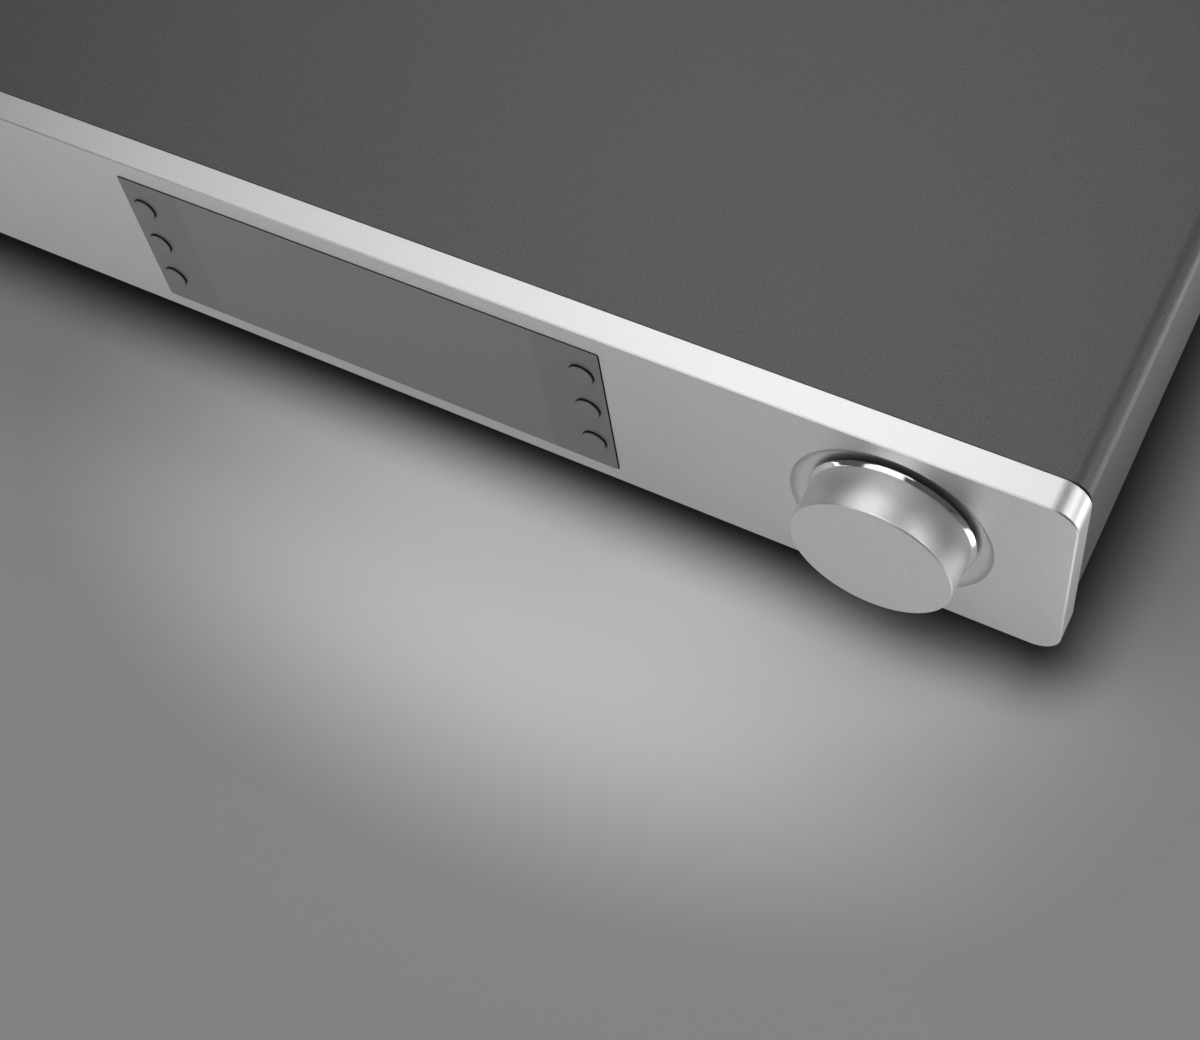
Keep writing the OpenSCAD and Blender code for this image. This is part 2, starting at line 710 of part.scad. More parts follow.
module rear_panel() {
    half = x_cover_in - fit_gap;
    color("#2b2b2d") difference() {
        union() {
            along_y(y_panel_in, y_panel) {
                round_top(half, z_skirt + fit_gap, z_cover_in - fit_gap, bend_in_r);
                translate([-x_tray, z_tray]) square([2 * x_tray, z_ledge - z_tray + cut]);
            }
            slab([fit_gap - x_tray_in, x_tray_in - fit_gap], [y_panel_in - fold_d, y_panel_in + hair],
                [z_floor, z_floor + sheet_t]);
        }
        for (x = cover_screw_xs)
            rod_y(x, cover_screw_z, screw_r + screw_gap, y_panel_in - cut, y_panel + cut);
        for (x = fold_screw_xs) translate([x, y_panel_in - fold_d / 2, z_floor - cut])
            cylinder(r = screw_r + screw_gap, h = sheet_t + 2 * cut);
        for (x = aerial_xs) rod_y(x, z_aerial, aerial_r + fit_gap, y_panel_in - cut, y_panel + cut);
        for (x = phono_xs, z = phono_zs)
            rod_y(x, z, phono_collar_r + fit_gap, y_panel_in - cut, y_panel + cut);
        for (x = balanced_xs) {
            rod_y(x, z_rear, balanced_r + fit_gap, y_panel_in - cut, y_panel + cut);
            for (s = [-1, 1]) rod_y(x + s * balanced_screw[0], z_rear + s * balanced_screw[1],
                screw_r + screw_gap, y_panel_in - cut, y_panel + cut);
        }
        for (x = optical_xs) panel_cut(x, z_optical, optical_w, optical_h);
        panel_cut(data_x, z_board + square_h / 2, square_w, square_h);
        panel_cut(flat_x, z_board + flat_h / 2, flat_w, flat_h);
        panel_cut(network_x, z_board + network_h / 2, network_w, network_h);
        for (x = jack_xs)
            rod_y(x, z_board + jack_h / 2, jack_nose_r + fit_gap, y_panel_in - cut, y_panel + cut);
        panel_cut(inlet_x, z_rear, inlet_body_w, inlet_body_h);
        for (s = [-1, 1]) rod_y(inlet_x + s * inlet_screw_pitch / 2, z_rear, screw_r + screw_gap,
            y_panel_in - cut, y_panel + cut);
        panel_cut(switch_x, z_rear, switch_body_w, switch_body_h);
    }
}
module panel_cut(x, z, w, h)
    box_at(x, z, w + 2 * fit_gap, h + 2 * fit_gap, y_panel_in - cut, y_panel + cut);

module display_lens() {
    color("#3c3e40") difference() {
        along_y(y_lens, y_lens_back) translate([0, z_window]) round_rect(lens_w, lens_h, lens_r);
        for (p = button_places) rod_y(p[0], p[1], button_hole_r, y_lens - cut, y_lens_back + cut);
    }
}

module display_module() {
    color("#17181a") difference() {
        box_at(0, z_window, display_w, display_h, y_lens_back, y_display);
        box_at(0, z_window, display_w - 16, display_h - 20, y_display - 0.8, y_display + cut);
    }
}

module display_carrier() {
    color("#202123") difference() {
        union() {
            along_y(y_lens_back, y_carrier) translate([0, z_window]) round_rect(lens_w, lens_h, lens_r);
            along_y(y_frame, y_carrier) translate([0, z_window])
                round_rect(window_w + 2 * carrier_flange_x, window_h + 2 * carrier_flange_z, window_r);
            for (x = [-1, 1]) for (z = [-1, 1])
                rod_y(x * pillar_x, z_window + z * pillar_z, pillar_r, y_carrier - hair, y_board);
        }
        box_at(0, z_window, display_w + 2 * fit_gap, display_h + 2 * hair,
            y_lens_back - cut, y_display + hair);
        box_at(0, z_window, display_w - 20, display_h - 22, y_display, y_carrier + cut);
        for (p = button_places) {
            rod_y(p[0], p[1], collar_r + button_gap, y_lens_back - cut, y_lens_back + collar_pocket);
            rod_y(p[0], p[1], button_stem_r + button_gap, y_lens_back, y_carrier + cut);
        }
        rod_y(receiver_x, receiver_z, receiver_r + hair, y_lens_back - cut, y_carrier + cut);
        for (x = [-1, 1]) for (z = [-1, 1]) {
            rod_y(x * carrier_screw_x, z_window + z * carrier_screw_z, screw_r + screw_gap,
                y_frame - cut, y_carrier + cut);
            rod_y(x * pillar_x, z_window + z * pillar_z, screw_r + screw_gap, y_board - 5, y_board + cut);
        }
    }
}

// the front board has a header for the ribbon cable at its lower edge
module front_board() {
    y_back = y_board + board_t;
    color("darkgreen") difference() {
        union() {
            box_at(0, z_window, front_board_w, front_board_h, y_board, y_back);
            box_at(0, z_header, header_w, header_h, y_back - hair, y_back + header_t);
        }
        for (x = [-1, 1]) for (z = [-1, 1])
            rod_y(x * pillar_x, z_window + z * pillar_z, screw_r + screw_gap, y_board - cut, y_back + cut);
    }
}

module tact_switch(x, z) {
    box_at(x, z, switch_wide, switch_wide, y_board - switch_body, y_board);
    rod_y(x, z, 1.7, y_board - switch_body - switch_stem, y_board - switch_body + hair);
}
module tact_switches() color("#2e2e30") {
    for (p = button_places) tact_switch(p[0], p[1]);
    tact_switch(x_standby, z_standby);
}

module remote_receiver() color("#2a1a1c") {
    rod_y(receiver_x, receiver_z, receiver_r, y_lens_back + fit_gap, y_board - 3);
    box_at(receiver_x, receiver_z, 6, 7, y_board - 3.6, y_board);
}

// one window button: round cap, collar behind the lens, stem to its switch
module button(p) color("#3c3e40") {
    rod_y(p[0], p[1], button_r, y_button, y_collar + hair);
    rod_y(p[0], p[1], collar_r, y_collar, y_collar + button_collar_t);
    rod_y(p[0], p[1], button_stem_r, y_collar + button_collar_t - hair, y_stem);
}
module button_left_top() button(button_places[0]);
module button_left_middle() button(button_places[1]);
module button_left_bottom() button(button_places[2]);
module button_right_top() button(button_places[3]);
module button_right_middle() button(button_places[4]);
module button_right_bottom() button(button_places[5]);

module standby_button() color("silver") {
    rod_y(x_standby, z_standby, standby_r, y_face - standby_proud, y_frame + 2 * hair);
    rod_y(x_standby, z_standby, standby_collar_r, y_frame + hair, y_stem - hair);
    rod_y(x_standby, z_standby, button_stem_r, y_stem - 2 * hair, y_stem);
}

module standby_light() color("white") {
    rod_y(x_standby, z_light, light_r, y_face - 0.2, y_board - 2);
    box_at(x_standby, z_light, 5, 4, y_board - 2.1, y_board);
}

module standby_board() {
    color("darkgreen") difference() {
        slab([x_standby - standby_board_w / 2, x_standby + standby_board_w / 2],
            [y_board, y_board + board_t], [post_zs[0] - post_edge, post_zs[1] + post_edge]);
        for (z = post_zs) rod_y(x_standby, z, screw_r + screw_gap, y_board - cut, y_board + board_t + cut);
    }
}

module knob() {
    depth = y_ring - y_knob;
    color("silver") translate([knob_x, y_knob, z_knob]) rotate([-90, 0, 0]) difference() {
        rotate_extrude() {
            difference() {
                union() {
                    translate([0, knob_round]) square([knob_r, depth - knob_round]);
                    square([knob_r - knob_round, knob_round + hair]);
                    translate([knob_r - knob_round, knob_round]) circle(knob_round);
                }
                translate([-knob_r, -cut]) square([knob_r, depth + 2 * cut]);
                translate([0, knob_wall]) square([knob_r - knob_skirt, depth]);
            }
            translate([0, knob_wall - hair]) square([boss_r, boss_l + hair]);
        }
        difference() {
            translate([0, 0, knob_wall]) cylinder(r = shaft_r + shaft_gap, h = depth);
            translate([shaft_r - shaft_flat + shaft_gap, -shaft_r * 2, 0])
                cube([shaft_r * 2, shaft_r * 4, knob_wall + grip_l - hair]);
        }
    }
}

module knob_trim_ring() {
    inner = knob_r - knob_skirt;
    color("white") translate([knob_x, y_ring, z_knob]) rotate([-90, 0, 0]) rotate_extrude()
        polygon([[inner, 0], [knob_r, 0], [ring_r, ring_t - 0.2], [ring_r, ring_t], [inner, ring_t]]);
}

module encoder_shaft() {
    y_tip = y_knob + knob_wall + hair;
    color("gainsboro") difference() {
        union() {
            rod_y(knob_x, z_knob, shaft_r, y_tip, y_chamber + 2 * hair);
            rod_y(knob_x, z_knob, shaft_flange_r, y_chamber + hair, y_chamber + hair + shaft_flange_t);
        }
        box_at(knob_x + shaft_r * 2 - shaft_flat, z_knob, shaft_r * 2, shaft_r * 4,
            y_tip - cut, y_tip + grip_l);
    }
}

module encoder_plunger() color("white") rod_y(knob_x, z_knob, plunger_r, y_plunger, y_plunger + plunger_t);

module encoder_body() {
    color("darkkhaki") difference() {
        union() {
            box_at(knob_x, z_knob, encoder_w, encoder_w, y_pocket, y_encoder);
            rod_y(knob_x, z_knob, bush_r, y_bush, y_pocket + hair);
        }
        rod_y(knob_x, z_knob, shaft_r + shaft_gap, y_bush - cut, y_chamber + hair);
        rod_y(knob_x, z_knob, chamber_r, y_chamber, y_chamber + chamber_d);
    }
}

module encoder_nut() {
    color("gainsboro") translate([knob_x, y_web, z_knob]) rotate([90, 0, 0]) {
        difference() {
            cylinder(r = nut_w / 2 + 1, h = washer_t);
            translate([0, 0, -cut]) cylinder(r = bush_r + hair, h = washer_t + 2 * cut);
        }
        difference() {
            translate([0, 0, washer_t]) cylinder(d = nut_w / cos(30), h = nut_t, $fn = 6);
            cylinder(r = bush_r + hair, h = washer_t + nut_t + cut);
        }
    }
}

module encoder_board() color("darkgreen")
    box_at(knob_x, z_knob, encoder_board_w, encoder_board_w, y_encoder, y_encoder + board_t);

// one foot: a turned body with a groove, hollowed for its pad and its screw
module foot(p) {
    color("#1f1f21") translate([p[0], p[1], pad_proud]) difference() {
        rotate_extrude() difference() {
            square([foot_r, z_tray - pad_proud]);
            translate([foot_r - 0.8, 3]) square([1, 1.2]);
        }
        translate([0, 0, -cut]) cylinder(r = pad_r + hair, h = pad_seat + cut);
        cylinder(r = big_head_r + 0.6, h = foot_head_up());
        cylinder(r = big_screw_r + screw_gap, h = z_tray);
    }
}
function foot_head_up() = pad_seat + big_head_r * 0.65 + 1;
module foot_front_left() foot(foot_places[0]);
module foot_front_right() foot(foot_places[1]);
module foot_rear_left() foot(foot_places[2]);
module foot_rear_right() foot(foot_places[3]);

module foot_pads() color("#111112") for (p = foot_places)
    translate([p[0], p[1], 0]) cylinder(r = pad_r, h = pad_proud + pad_seat - hair);

module board_with_holes(xs, ys, holes) difference() {
    slab(xs, ys, [z_board_low, z_board]);
    for (p = holes) translate([p[0], p[1], z_board_low - cut])
        cylinder(r = screw_r + screw_gap, h = board_t + 2 * cut);
}
module main_board() color("darkgreen") board_with_holes(main_x, main_y, main_holes);
module power_board() color("darkgreen") board_with_holes(power_x, power_y, power_holes);

module board_standoffs() color("gainsboro") for (p = concat(main_holes, power_holes))
    translate([p[0], p[1], z_floor]) difference() {
        cylinder(r = 3, h = standoff_h);
        translate([0, 0, -cut]) cylinder(r = screw_r + screw_gap, h = standoff_h + 2 * cut);
    }

module network_module() {
    color("teal") slab(module_x, module_y, [z_module, z_module + board_t]);
    color("silver") slab([module_x[0] + 8, module_x[1] - 14], [module_y[0] + 6, module_y[1] - 14],
        [z_module + board_t, z_module + board_t + 3]);
    color("#222222") for (y = [module_y[0] + 3, module_y[1] - 8])
        slab([module_x[0] + 4, module_x[1] - 4], [y, y + 5], [z_board, z_module]);
}

module on_main(x, y) translate([main_x[0] + x, main_y[0] + y, z_board]) children();
module on_power(x, y) translate([power_x[0] + x, power_y[0] + y, z_board]) children();

module board_chips() color("#1b1b1c") for (c = chips) on_main(c[0], c[1]) cube([c[2], c[3], chip_t]);

module audio_capacitors() color("#30343c") {
    for (i = [0:5]) on_main(18 + i * small_cap_step, cap_row) cylinder(r = small_cap_r, h = small_cap_h);
    for (i = [0:1]) on_main(100 + i * large_cap_step, cap_row) cylinder(r = large_cap_r, h = large_cap_h);
}

module power_capacitors() color("#262a33") {
    on_power(store_cap_at[0], store_cap_at[1]) cylinder(r = store_cap_r, h = power_tall);
    for (i = [0:2]) on_power(output_cap_at[0] + i * output_cap_step, output_cap_at[1])
        cylinder(r = output_cap_r, h = output_cap_h);
}

module power_transformers() {
    color("#c9a227") on_power(transformer_at[0], transformer_at[1])
        cube([transformer_w, transformer_d, transformer_h]);
    color("#8a4b22") on_power(choke_at[0], choke_at[1]) difference() {
        cylinder(r = choke_r, h = choke_h);
        translate([0, 0, -cut]) cylinder(r = choke_hole_r, h = choke_h + 2 * cut);
    }
}

module power_heat_sink() color("silver") {
    x = power_x[1] - sink_side;
    y0 = power_y[0] + sink_ends[0];
    y1 = power_y[1] - sink_ends[1];
    slab([x, x + sink_wall], [y0, y1], [z_board, z_board + sink_h]);
    for (y = [y0 + 2:sink_fin_step:y1 - 6])
        slab([x + sink_wall - hair, x + sink_wall + sink_fin], [y, y + sink_fin_t],
            [z_board, z_board + sink_h]);
}

// the inlet's three contacts are blades that stand in slots of its end wall
module mains_inlet() {
    y_out = y_panel + inlet_flange_t;
    y_end = y_out - inlet_depth;
    half = inlet_in_w / 2;
    top = inlet_in_h / 2;
    color("#18181a") difference() {
        union() {
            along_y(y_panel, y_out) translate([inlet_x, z_rear]) round_rect(inlet_w, inlet_h, 3);
            box_at(inlet_x, z_rear, inlet_body_w, inlet_body_h, y_end - end_wall, y_panel + hair);
        }
        along_y(y_end, y_out + cut) translate([inlet_x, z_rear]) polygon([
            [-half, -top], [half, -top], [half, top - inlet_corner], [half - inlet_corner, top],
            [inlet_corner - half, top], [-half, top - inlet_corner]]);
        for (c = inlet_contacts) box_at(inlet_x + c[0], z_rear + c[1], contact_w + 2 * hair,
            contact_h + 2 * hair, y_end - end_wall - cut, y_end + cut);
        for (s = [-1, 1]) rod_y(inlet_x + s * inlet_screw_pitch / 2, z_rear, screw_r + screw_gap,
            y_panel - cut, y_out + cut);
    }
    color("gainsboro") for (c = inlet_contacts)
        box_at(inlet_x + c[0], z_rear + c[1], contact_w, contact_h,
            y_end - contact_tail, y_out - contact_reach);
}

module mains_switch_frame() {
    y_out = y_panel + switch_bezel_t;
    color("#18181a") difference() {
        union() {
            along_y(y_panel, y_out) translate([switch_x, z_rear]) round_rect(switch_w, switch_h, 1.5);
            box_at(switch_x, z_rear, switch_body_w, switch_body_h, y_panel - switch_body_d, y_panel + hair);
        }
        box_at(switch_x, z_rear, rocker_w + 2 * fit_gap, rocker_h + 2.4, y_panel - 8, y_out + cut);
        translate([switch_x - rocker_w / 2 - rocker_stub - fit_gap, y_rocker, z_rear]) rotate([0, 90, 0])
            cylinder(r = rocker_pin_r + shaft_gap, h = rocker_w + 2 * (rocker_stub + fit_gap));
    }
    color("gainsboro") for (z = [-tab_step, 0, tab_step])
        box_at(switch_x, z_rear + z, 4.8, 0.8,
            y_panel - switch_body_d - tab_l, y_panel - switch_body_d + hair);
}

// the rocker rests with its upper half out; its two stubs turn in the frame
module mains_rocker() {
    half = rocker_h / 2;
    color("#232326") translate([switch_x, y_rocker, z_rear]) rotate([-rocker_turn / 2, 0, 0]) {
        rotate([90, 0, 90]) translate([0, 0, -rocker_w / 2]) linear_extrude(rocker_w)
            polygon([[-3, -half + 2], [-3, half - 2], [1.2, half], [3.4, half],
                [2.2, 0], [3.4, -half], [1.2, -half]]);
        translate([-rocker_w / 2 - rocker_stub, 0, 0]) rotate([0, 90, 0])
            cylinder(r = rocker_pin_r, h = rocker_w + 2 * rocker_stub);
    }
}

module network_socket() {
    zc = z_board + network_h / 2;
    y_out = y_panel + socket_proud;
    color("silver") difference() {
        box_at(network_x, zc, network_w, network_h, y_out - network_d, y_out);
        box_at(network_x, zc + 0.9, 11.8, 7, y_out - 14, y_out + cut);
        box_at(network_x, zc - 3.6, 6, 3, y_out - 14, y_out + cut);
        box_at(network_x, zc - 5, 3.4, 3, y_out - 14, y_out + cut);
    }
}

module data_sockets() {
    y_out = y_panel + socket_proud;
    zs = z_board + square_h / 2;
    zf = z_board + flat_h / 2;
    color("silver") difference() {
        box_at(data_x, zs, square_w, square_h, y_out - data_d, y_out);
        box_at(data_x, zs, 8.5, 7.8, y_out - 10, y_out + cut);
    }
    color("white") box_at(data_x, zs, 5.6, 3.2, y_out - 10 - hair, y_out - 1);
    color("silver") difference() {
        box_at(flat_x, zf, flat_w, flat_h, y_out - data_d, y_out);
        box_at(flat_x, zf, 12.4, 5.1, y_out - 12, y_out + cut);
    }
    color("white") box_at(flat_x, zf + 1.2, 11.2, 1.8, y_out - 12 - hair, y_out - 1);
}

module optical_sockets() color("#1d1d20") for (x = optical_xs) difference() {
    union() {
        difference() {
            box_at(x, z_optical, optical_w, optical_h, y_optical - optical_depth - 3, y_optical);
            box_at(x, z_optical, optical_in, optical_in, y_optical - optical_depth, y_optical + cut);
        }
        rod_y(x, z_optical, 1.3, y_optical - optical_depth - hair, y_optical - optical_depth + 2);
    }
    translate([x - optical_in / 2 - 0.5, y_knuckle, z_knuckle]) rotate([0, 90, 0])
        cylinder(r = knuckle_pin_r + shaft_gap, h = optical_in + 1);
}

// a shutter hangs in the socket's mouth from a knuckle along its upper edge
module shutter(x) {
    w = optical_in - 2 * hair;
    color("#2c2c30") {
        translate([x - w / 2, y_knuckle, z_knuckle]) rotate([0, 90, 0]) cylinder(r = knuckle_r, h = w);
        box_at(x, z_knuckle - shutter_drop / 2, w, shutter_drop,
            y_knuckle - knuckle_r, y_knuckle + knuckle_r);
        translate([x - w / 2 - knuckle_stub, y_knuckle, z_knuckle]) rotate([0, 90, 0])
            cylinder(r = knuckle_pin_r, h = w + 2 * knuckle_stub);
    }
}
module optical_shutter_in() shutter(optical_xs[0]);
module optical_shutter_out() shutter(optical_xs[1]);

module phono_sockets() color("#202022") for (x = phono_xs) difference() {
    union() {
        slab([x - phono_body_w / 2, x + phono_body_w / 2],
            [y_panel_in - hair - phono_body_d, y_panel_in - hair], [z_board, phono_zs[1] + 8]);
        for (z = phono_zs) rod_y(x, z, phono_collar_r, y_panel_in - 2 * hair, y_panel + socket_proud);
        for (z = phono_zs) rod_y(x, z, phono_r - phono_wall - hair, y_panel, y_panel + phono_l - 0.8);
    }
    for (z = phono_zs) rod_y(x, z, phono_hole_r, y_panel_in - 6, y_panel + phono_l);
}

module phono_shells() color("gold") for (x = phono_xs, z = phono_zs) difference() {
    rod_y(x, z, phono_r, y_panel + socket_proud, y_panel + phono_l);
    rod_y(x, z, phono_r - phono_wall, y_panel, y_panel + phono_l + cut);
}

// each balanced socket holds three contact pins that stand in its end wall
module balanced_sockets() for (x = balanced_xs) {
    y_out = y_panel + balanced_flange_t;
    y_end = y_out - balanced_depth;
    color("#1a1a1c") difference() {
        union() {
            along_y(y_panel, y_out) translate([x, z_rear]) round_rect(balanced_w, balanced_h, 3);
            rod_y(x, z_rear, balanced_r, y_end - balanced_end_wall, y_panel + hair);
        }
        rod_y(x, z_rear, balanced_mouth_r, y_end, y_out + cut);
        for (a = balanced_angles) rod_y(x + balanced_ring_r * cos(a), z_rear + balanced_ring_r * sin(a),
            balanced_pin_r + hair, y_end - balanced_end_wall - cut, y_end + cut);
        for (s = [-1, 1]) rod_y(x + s * balanced_screw[0], z_rear + s * balanced_screw[1],
            screw_r + screw_gap, y_panel - cut, y_out + cut);
    }
    color("gainsboro") for (a = balanced_angles)
        rod_y(x + balanced_ring_r * cos(a), z_rear + balanced_ring_r * sin(a), balanced_pin_r,
            y_end - balanced_end_wall - balanced_tail, y_out - 2);
}

module control_jacks() color("#1d1d20") for (x = jack_xs) difference() {
    union() {
        slab([x - jack_w / 2, x + jack_w / 2], [y_panel_in - hair - jack_depth, y_panel_in - hair],
            [z_board, z_board + jack_h]);
        rod_y(x, z_board + jack_h / 2, jack_nose_r, y_panel_in - 2 * hair, y_panel + 1.5);
    }
    rod_y(x, z_board + jack_h / 2, jack_hole_r, y_panel + 1.5 - jack_depth, y_panel + 1.5 + cut);
}

module aerial_sockets() color("goldenrod") for (x = aerial_xs) difference() {
    union() {
        rod_y(x, z_aerial, aerial_r, y_panel_in - 6, y_rear + aerial_proud);
        rod_y(x, z_aerial, aerial_r + 1.6, y_panel_in - 2, y_panel_in);
        translate([x, y_panel + 2, z_aerial]) rotate([90, 0, 0]) cylinder(d = 9.2, h = 2, $fn = 6);
    }
    difference() {
        rod_y(x, z_aerial, 2.3, y_panel + 2, y_rear + aerial_proud + cut);
        rod_y(x, z_aerial, 0.6, y_panel, y_rear + aerial_proud - 2);
    }
}

module mains_wires() {
    y_tab = y_panel + inlet_flange_t - inlet_depth - contact_tail - hair;
    y_board_end = power_y[1] - 6;
    side = [1, 0, 0];
    color("saddlebrown") for (c = inlet_contacts)
        swept([inlet_x + c[0], y_tab, z_rear + c[1]], [0, -10, 0],
            [inlet_x + c[0], y_board_end, z_board], [0, 0, 12], side, ring(wire_r));
    color("steelblue") for (z = [0, tab_step])
        swept([switch_x, y_panel - switch_body_d - tab_l - hair, z_rear + z], [0, -12, 0],
            [switch_x, y_board_end - z, z_board], [0, 0, 14], side, ring(wire_r));
}

module ribbon_cables() {
    y_front = y_board + board_t + header_t;
    color("gainsboro") swept([0, y_front, z_header], [0, 14, 0], [0, main_y[0] + 6, z_board], [0, 0, 24],
        [1, 0, 0], band(26, 0.8));
    y_link = main_y[0] + 20;
    color("darkred") swept([power_x[1] - 3, y_link, z_board], [0, 0, 22],
        [main_x[0] + 5, y_link, z_board], [0, 0, 22], [0, 1, 0], band(12, 1.4));
}

module aerial_leads() color("#2a2a2a") for (i = [0, 1]) {
    x = aerial_xs[i];
    x_end = module_x[0] + 16 + i * 30;
    start = [x, y_panel_in - 6 - hair, z_aerial];
    finish = [x_end, module_y[1] - 6, z_module + board_t];
    swept(start, [0, -14, 0], finish, [0, 0, 16], cross([0, 1, 0], finish - start), ring(0.7));
}

module small_screws() color("#8d8d90") {
    for (x = cover_screw_xs) translate([x, y_rear, cover_screw_z]) rotate([-90, 0, 0])
        screw(screw_r, screw_l, screw_head_r);
    for (x = fold_screw_xs, y = [y_plate + fold_d / 2, y_panel_in - fold_d / 2])
        translate([x, y, z_tray]) rotate([180, 0, 0]) screw(screw_r, screw_l, screw_head_r);
    for (p = concat(main_holes, power_holes)) {
        translate([p[0], p[1], z_board]) screw(screw_r, 4, screw_head_r);
        translate([p[0], p[1], z_tray]) rotate([180, 0, 0]) screw(screw_r, 4, screw_head_r);
    }
    for (x = [-1, 1]) for (z = [-1, 1]) {
        translate([x * carrier_screw_x, y_carrier, z_window + z * carrier_screw_z]) rotate([-90, 0, 0])
            screw(screw_r, carrier_flange_t + sheet_t + 4, screw_head_r);
        translate([x * pillar_x, y_board + board_t, z_window + z * pillar_z]) rotate([-90, 0, 0])
            screw(screw_r, 5, screw_head_r);
    }
    for (x = balanced_xs, s = [-1, 1])
        translate([x + s * balanced_screw[0], y_panel + balanced_flange_t, z_rear + s * balanced_screw[1]])
            rotate([-90, 0, 0]) screw(screw_r, screw_l, screw_head_r);
    for (s = [-1, 1]) translate([inlet_x + s * inlet_screw_pitch / 2, y_panel + inlet_flange_t, z_rear])
        rotate([-90, 0, 0]) screw(screw_r, screw_l, screw_head_r);
}

module plate_screws() color("#8d8d90") for (p = plate_screws_at)
    translate([p[0], y_frame, p[1]]) rotate([-90, 0, 0]) screw(big_screw_r, screw_l, big_head_r);

module foot_screws() color("#8d8d90") for (p = foot_places) {
    head_z = pad_proud + foot_head_up();
    translate([p[0], p[1], head_z]) rotate([180, 0, 0])
        screw(big_screw_r, z_floor + foot_nut_t - head_z, big_head_r);
    translate([p[0], p[1], z_floor]) difference() {
        cylinder(d = 8, h = foot_nut_t, $fn = 6);
        translate([0, 0, -cut]) cylinder(r = big_screw_r + screw_gap, h = 5);
    }
}

front_plate();
front_frame();
base_tray();
top_cover();
rear_panel();
display_lens();
display_module();
display_carrier();
front_board();
tact_switches();
remote_receiver();
button_left_top();
button_left_middle();
button_left_bottom();
button_right_top();
button_right_middle();
button_right_bottom();
standby_button();
standby_light();
standby_board();
knob();
knob_trim_ring();
encoder_shaft();
encoder_plunger();
encoder_body();
encoder_nut();
encoder_board();
foot_front_left();
foot_front_right();
foot_rear_left();
foot_rear_right();
foot_pads();
main_board();
board_standoffs();
network_module();
board_chips();
audio_capacitors();
power_board();
power_capacitors();
power_transformers();
power_heat_sink();
mains_inlet();
mains_switch_frame();
mains_rocker();
network_socket();
data_sockets();
optical_sockets();
optical_shutter_in();
optical_shutter_out();
phono_sockets();
phono_shells();
balanced_sockets();
control_jacks();
aerial_sockets();
mains_wires();
ribbon_cables();
aerial_leads();
small_screws();
plate_screws();
foot_screws();
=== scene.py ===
from math import cos, degrees, pi, radians, sin

import bmesh
import bpy
from mathutils import Matrix, Vector


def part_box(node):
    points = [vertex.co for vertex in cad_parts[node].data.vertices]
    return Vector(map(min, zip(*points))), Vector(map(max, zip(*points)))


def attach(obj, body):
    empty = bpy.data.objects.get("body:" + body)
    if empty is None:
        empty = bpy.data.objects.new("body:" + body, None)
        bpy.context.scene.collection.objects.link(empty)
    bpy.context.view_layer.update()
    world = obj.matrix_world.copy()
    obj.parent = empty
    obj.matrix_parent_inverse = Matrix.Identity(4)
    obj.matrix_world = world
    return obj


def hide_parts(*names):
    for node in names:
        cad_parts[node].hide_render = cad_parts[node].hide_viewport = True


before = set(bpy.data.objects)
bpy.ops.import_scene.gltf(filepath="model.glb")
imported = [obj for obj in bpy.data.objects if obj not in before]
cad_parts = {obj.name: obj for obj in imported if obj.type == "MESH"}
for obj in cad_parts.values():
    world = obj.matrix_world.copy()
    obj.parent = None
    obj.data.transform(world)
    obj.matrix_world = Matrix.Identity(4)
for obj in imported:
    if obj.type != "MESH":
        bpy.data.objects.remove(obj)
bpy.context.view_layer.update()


# Camera
# It stands to the right of the streamer, above it and in front, as the
# photographer's did. Place and lens come from the outlines of the front.
camera_data = bpy.data.cameras.new("camera")
camera_data.sensor_width = 36
camera_data.lens = 57.67
camera_data.shift_x = 0.0033
camera_data.shift_y = -0.1191
camera_data.clip_start = 0.02
camera_data.clip_end = 30
camera = bpy.data.objects.new("camera", camera_data)
camera_right = Vector((0.8727, 0.4749, -0.1134))
camera_up = Vector((-0.3305, 0.7456, 0.5786))
camera_back = Vector((0.3593, -0.4674, 0.8077))
camera.matrix_world = Matrix((camera_right, camera_up, camera_back)).transposed().to_4x4()
camera.matrix_world.translation = Vector((0.2675, -0.3834, 0.4886))
bpy.context.scene.collection.objects.link(camera)
bpy.context.scene.camera = camera
bpy.context.scene.view_settings.view_transform = "Standard"


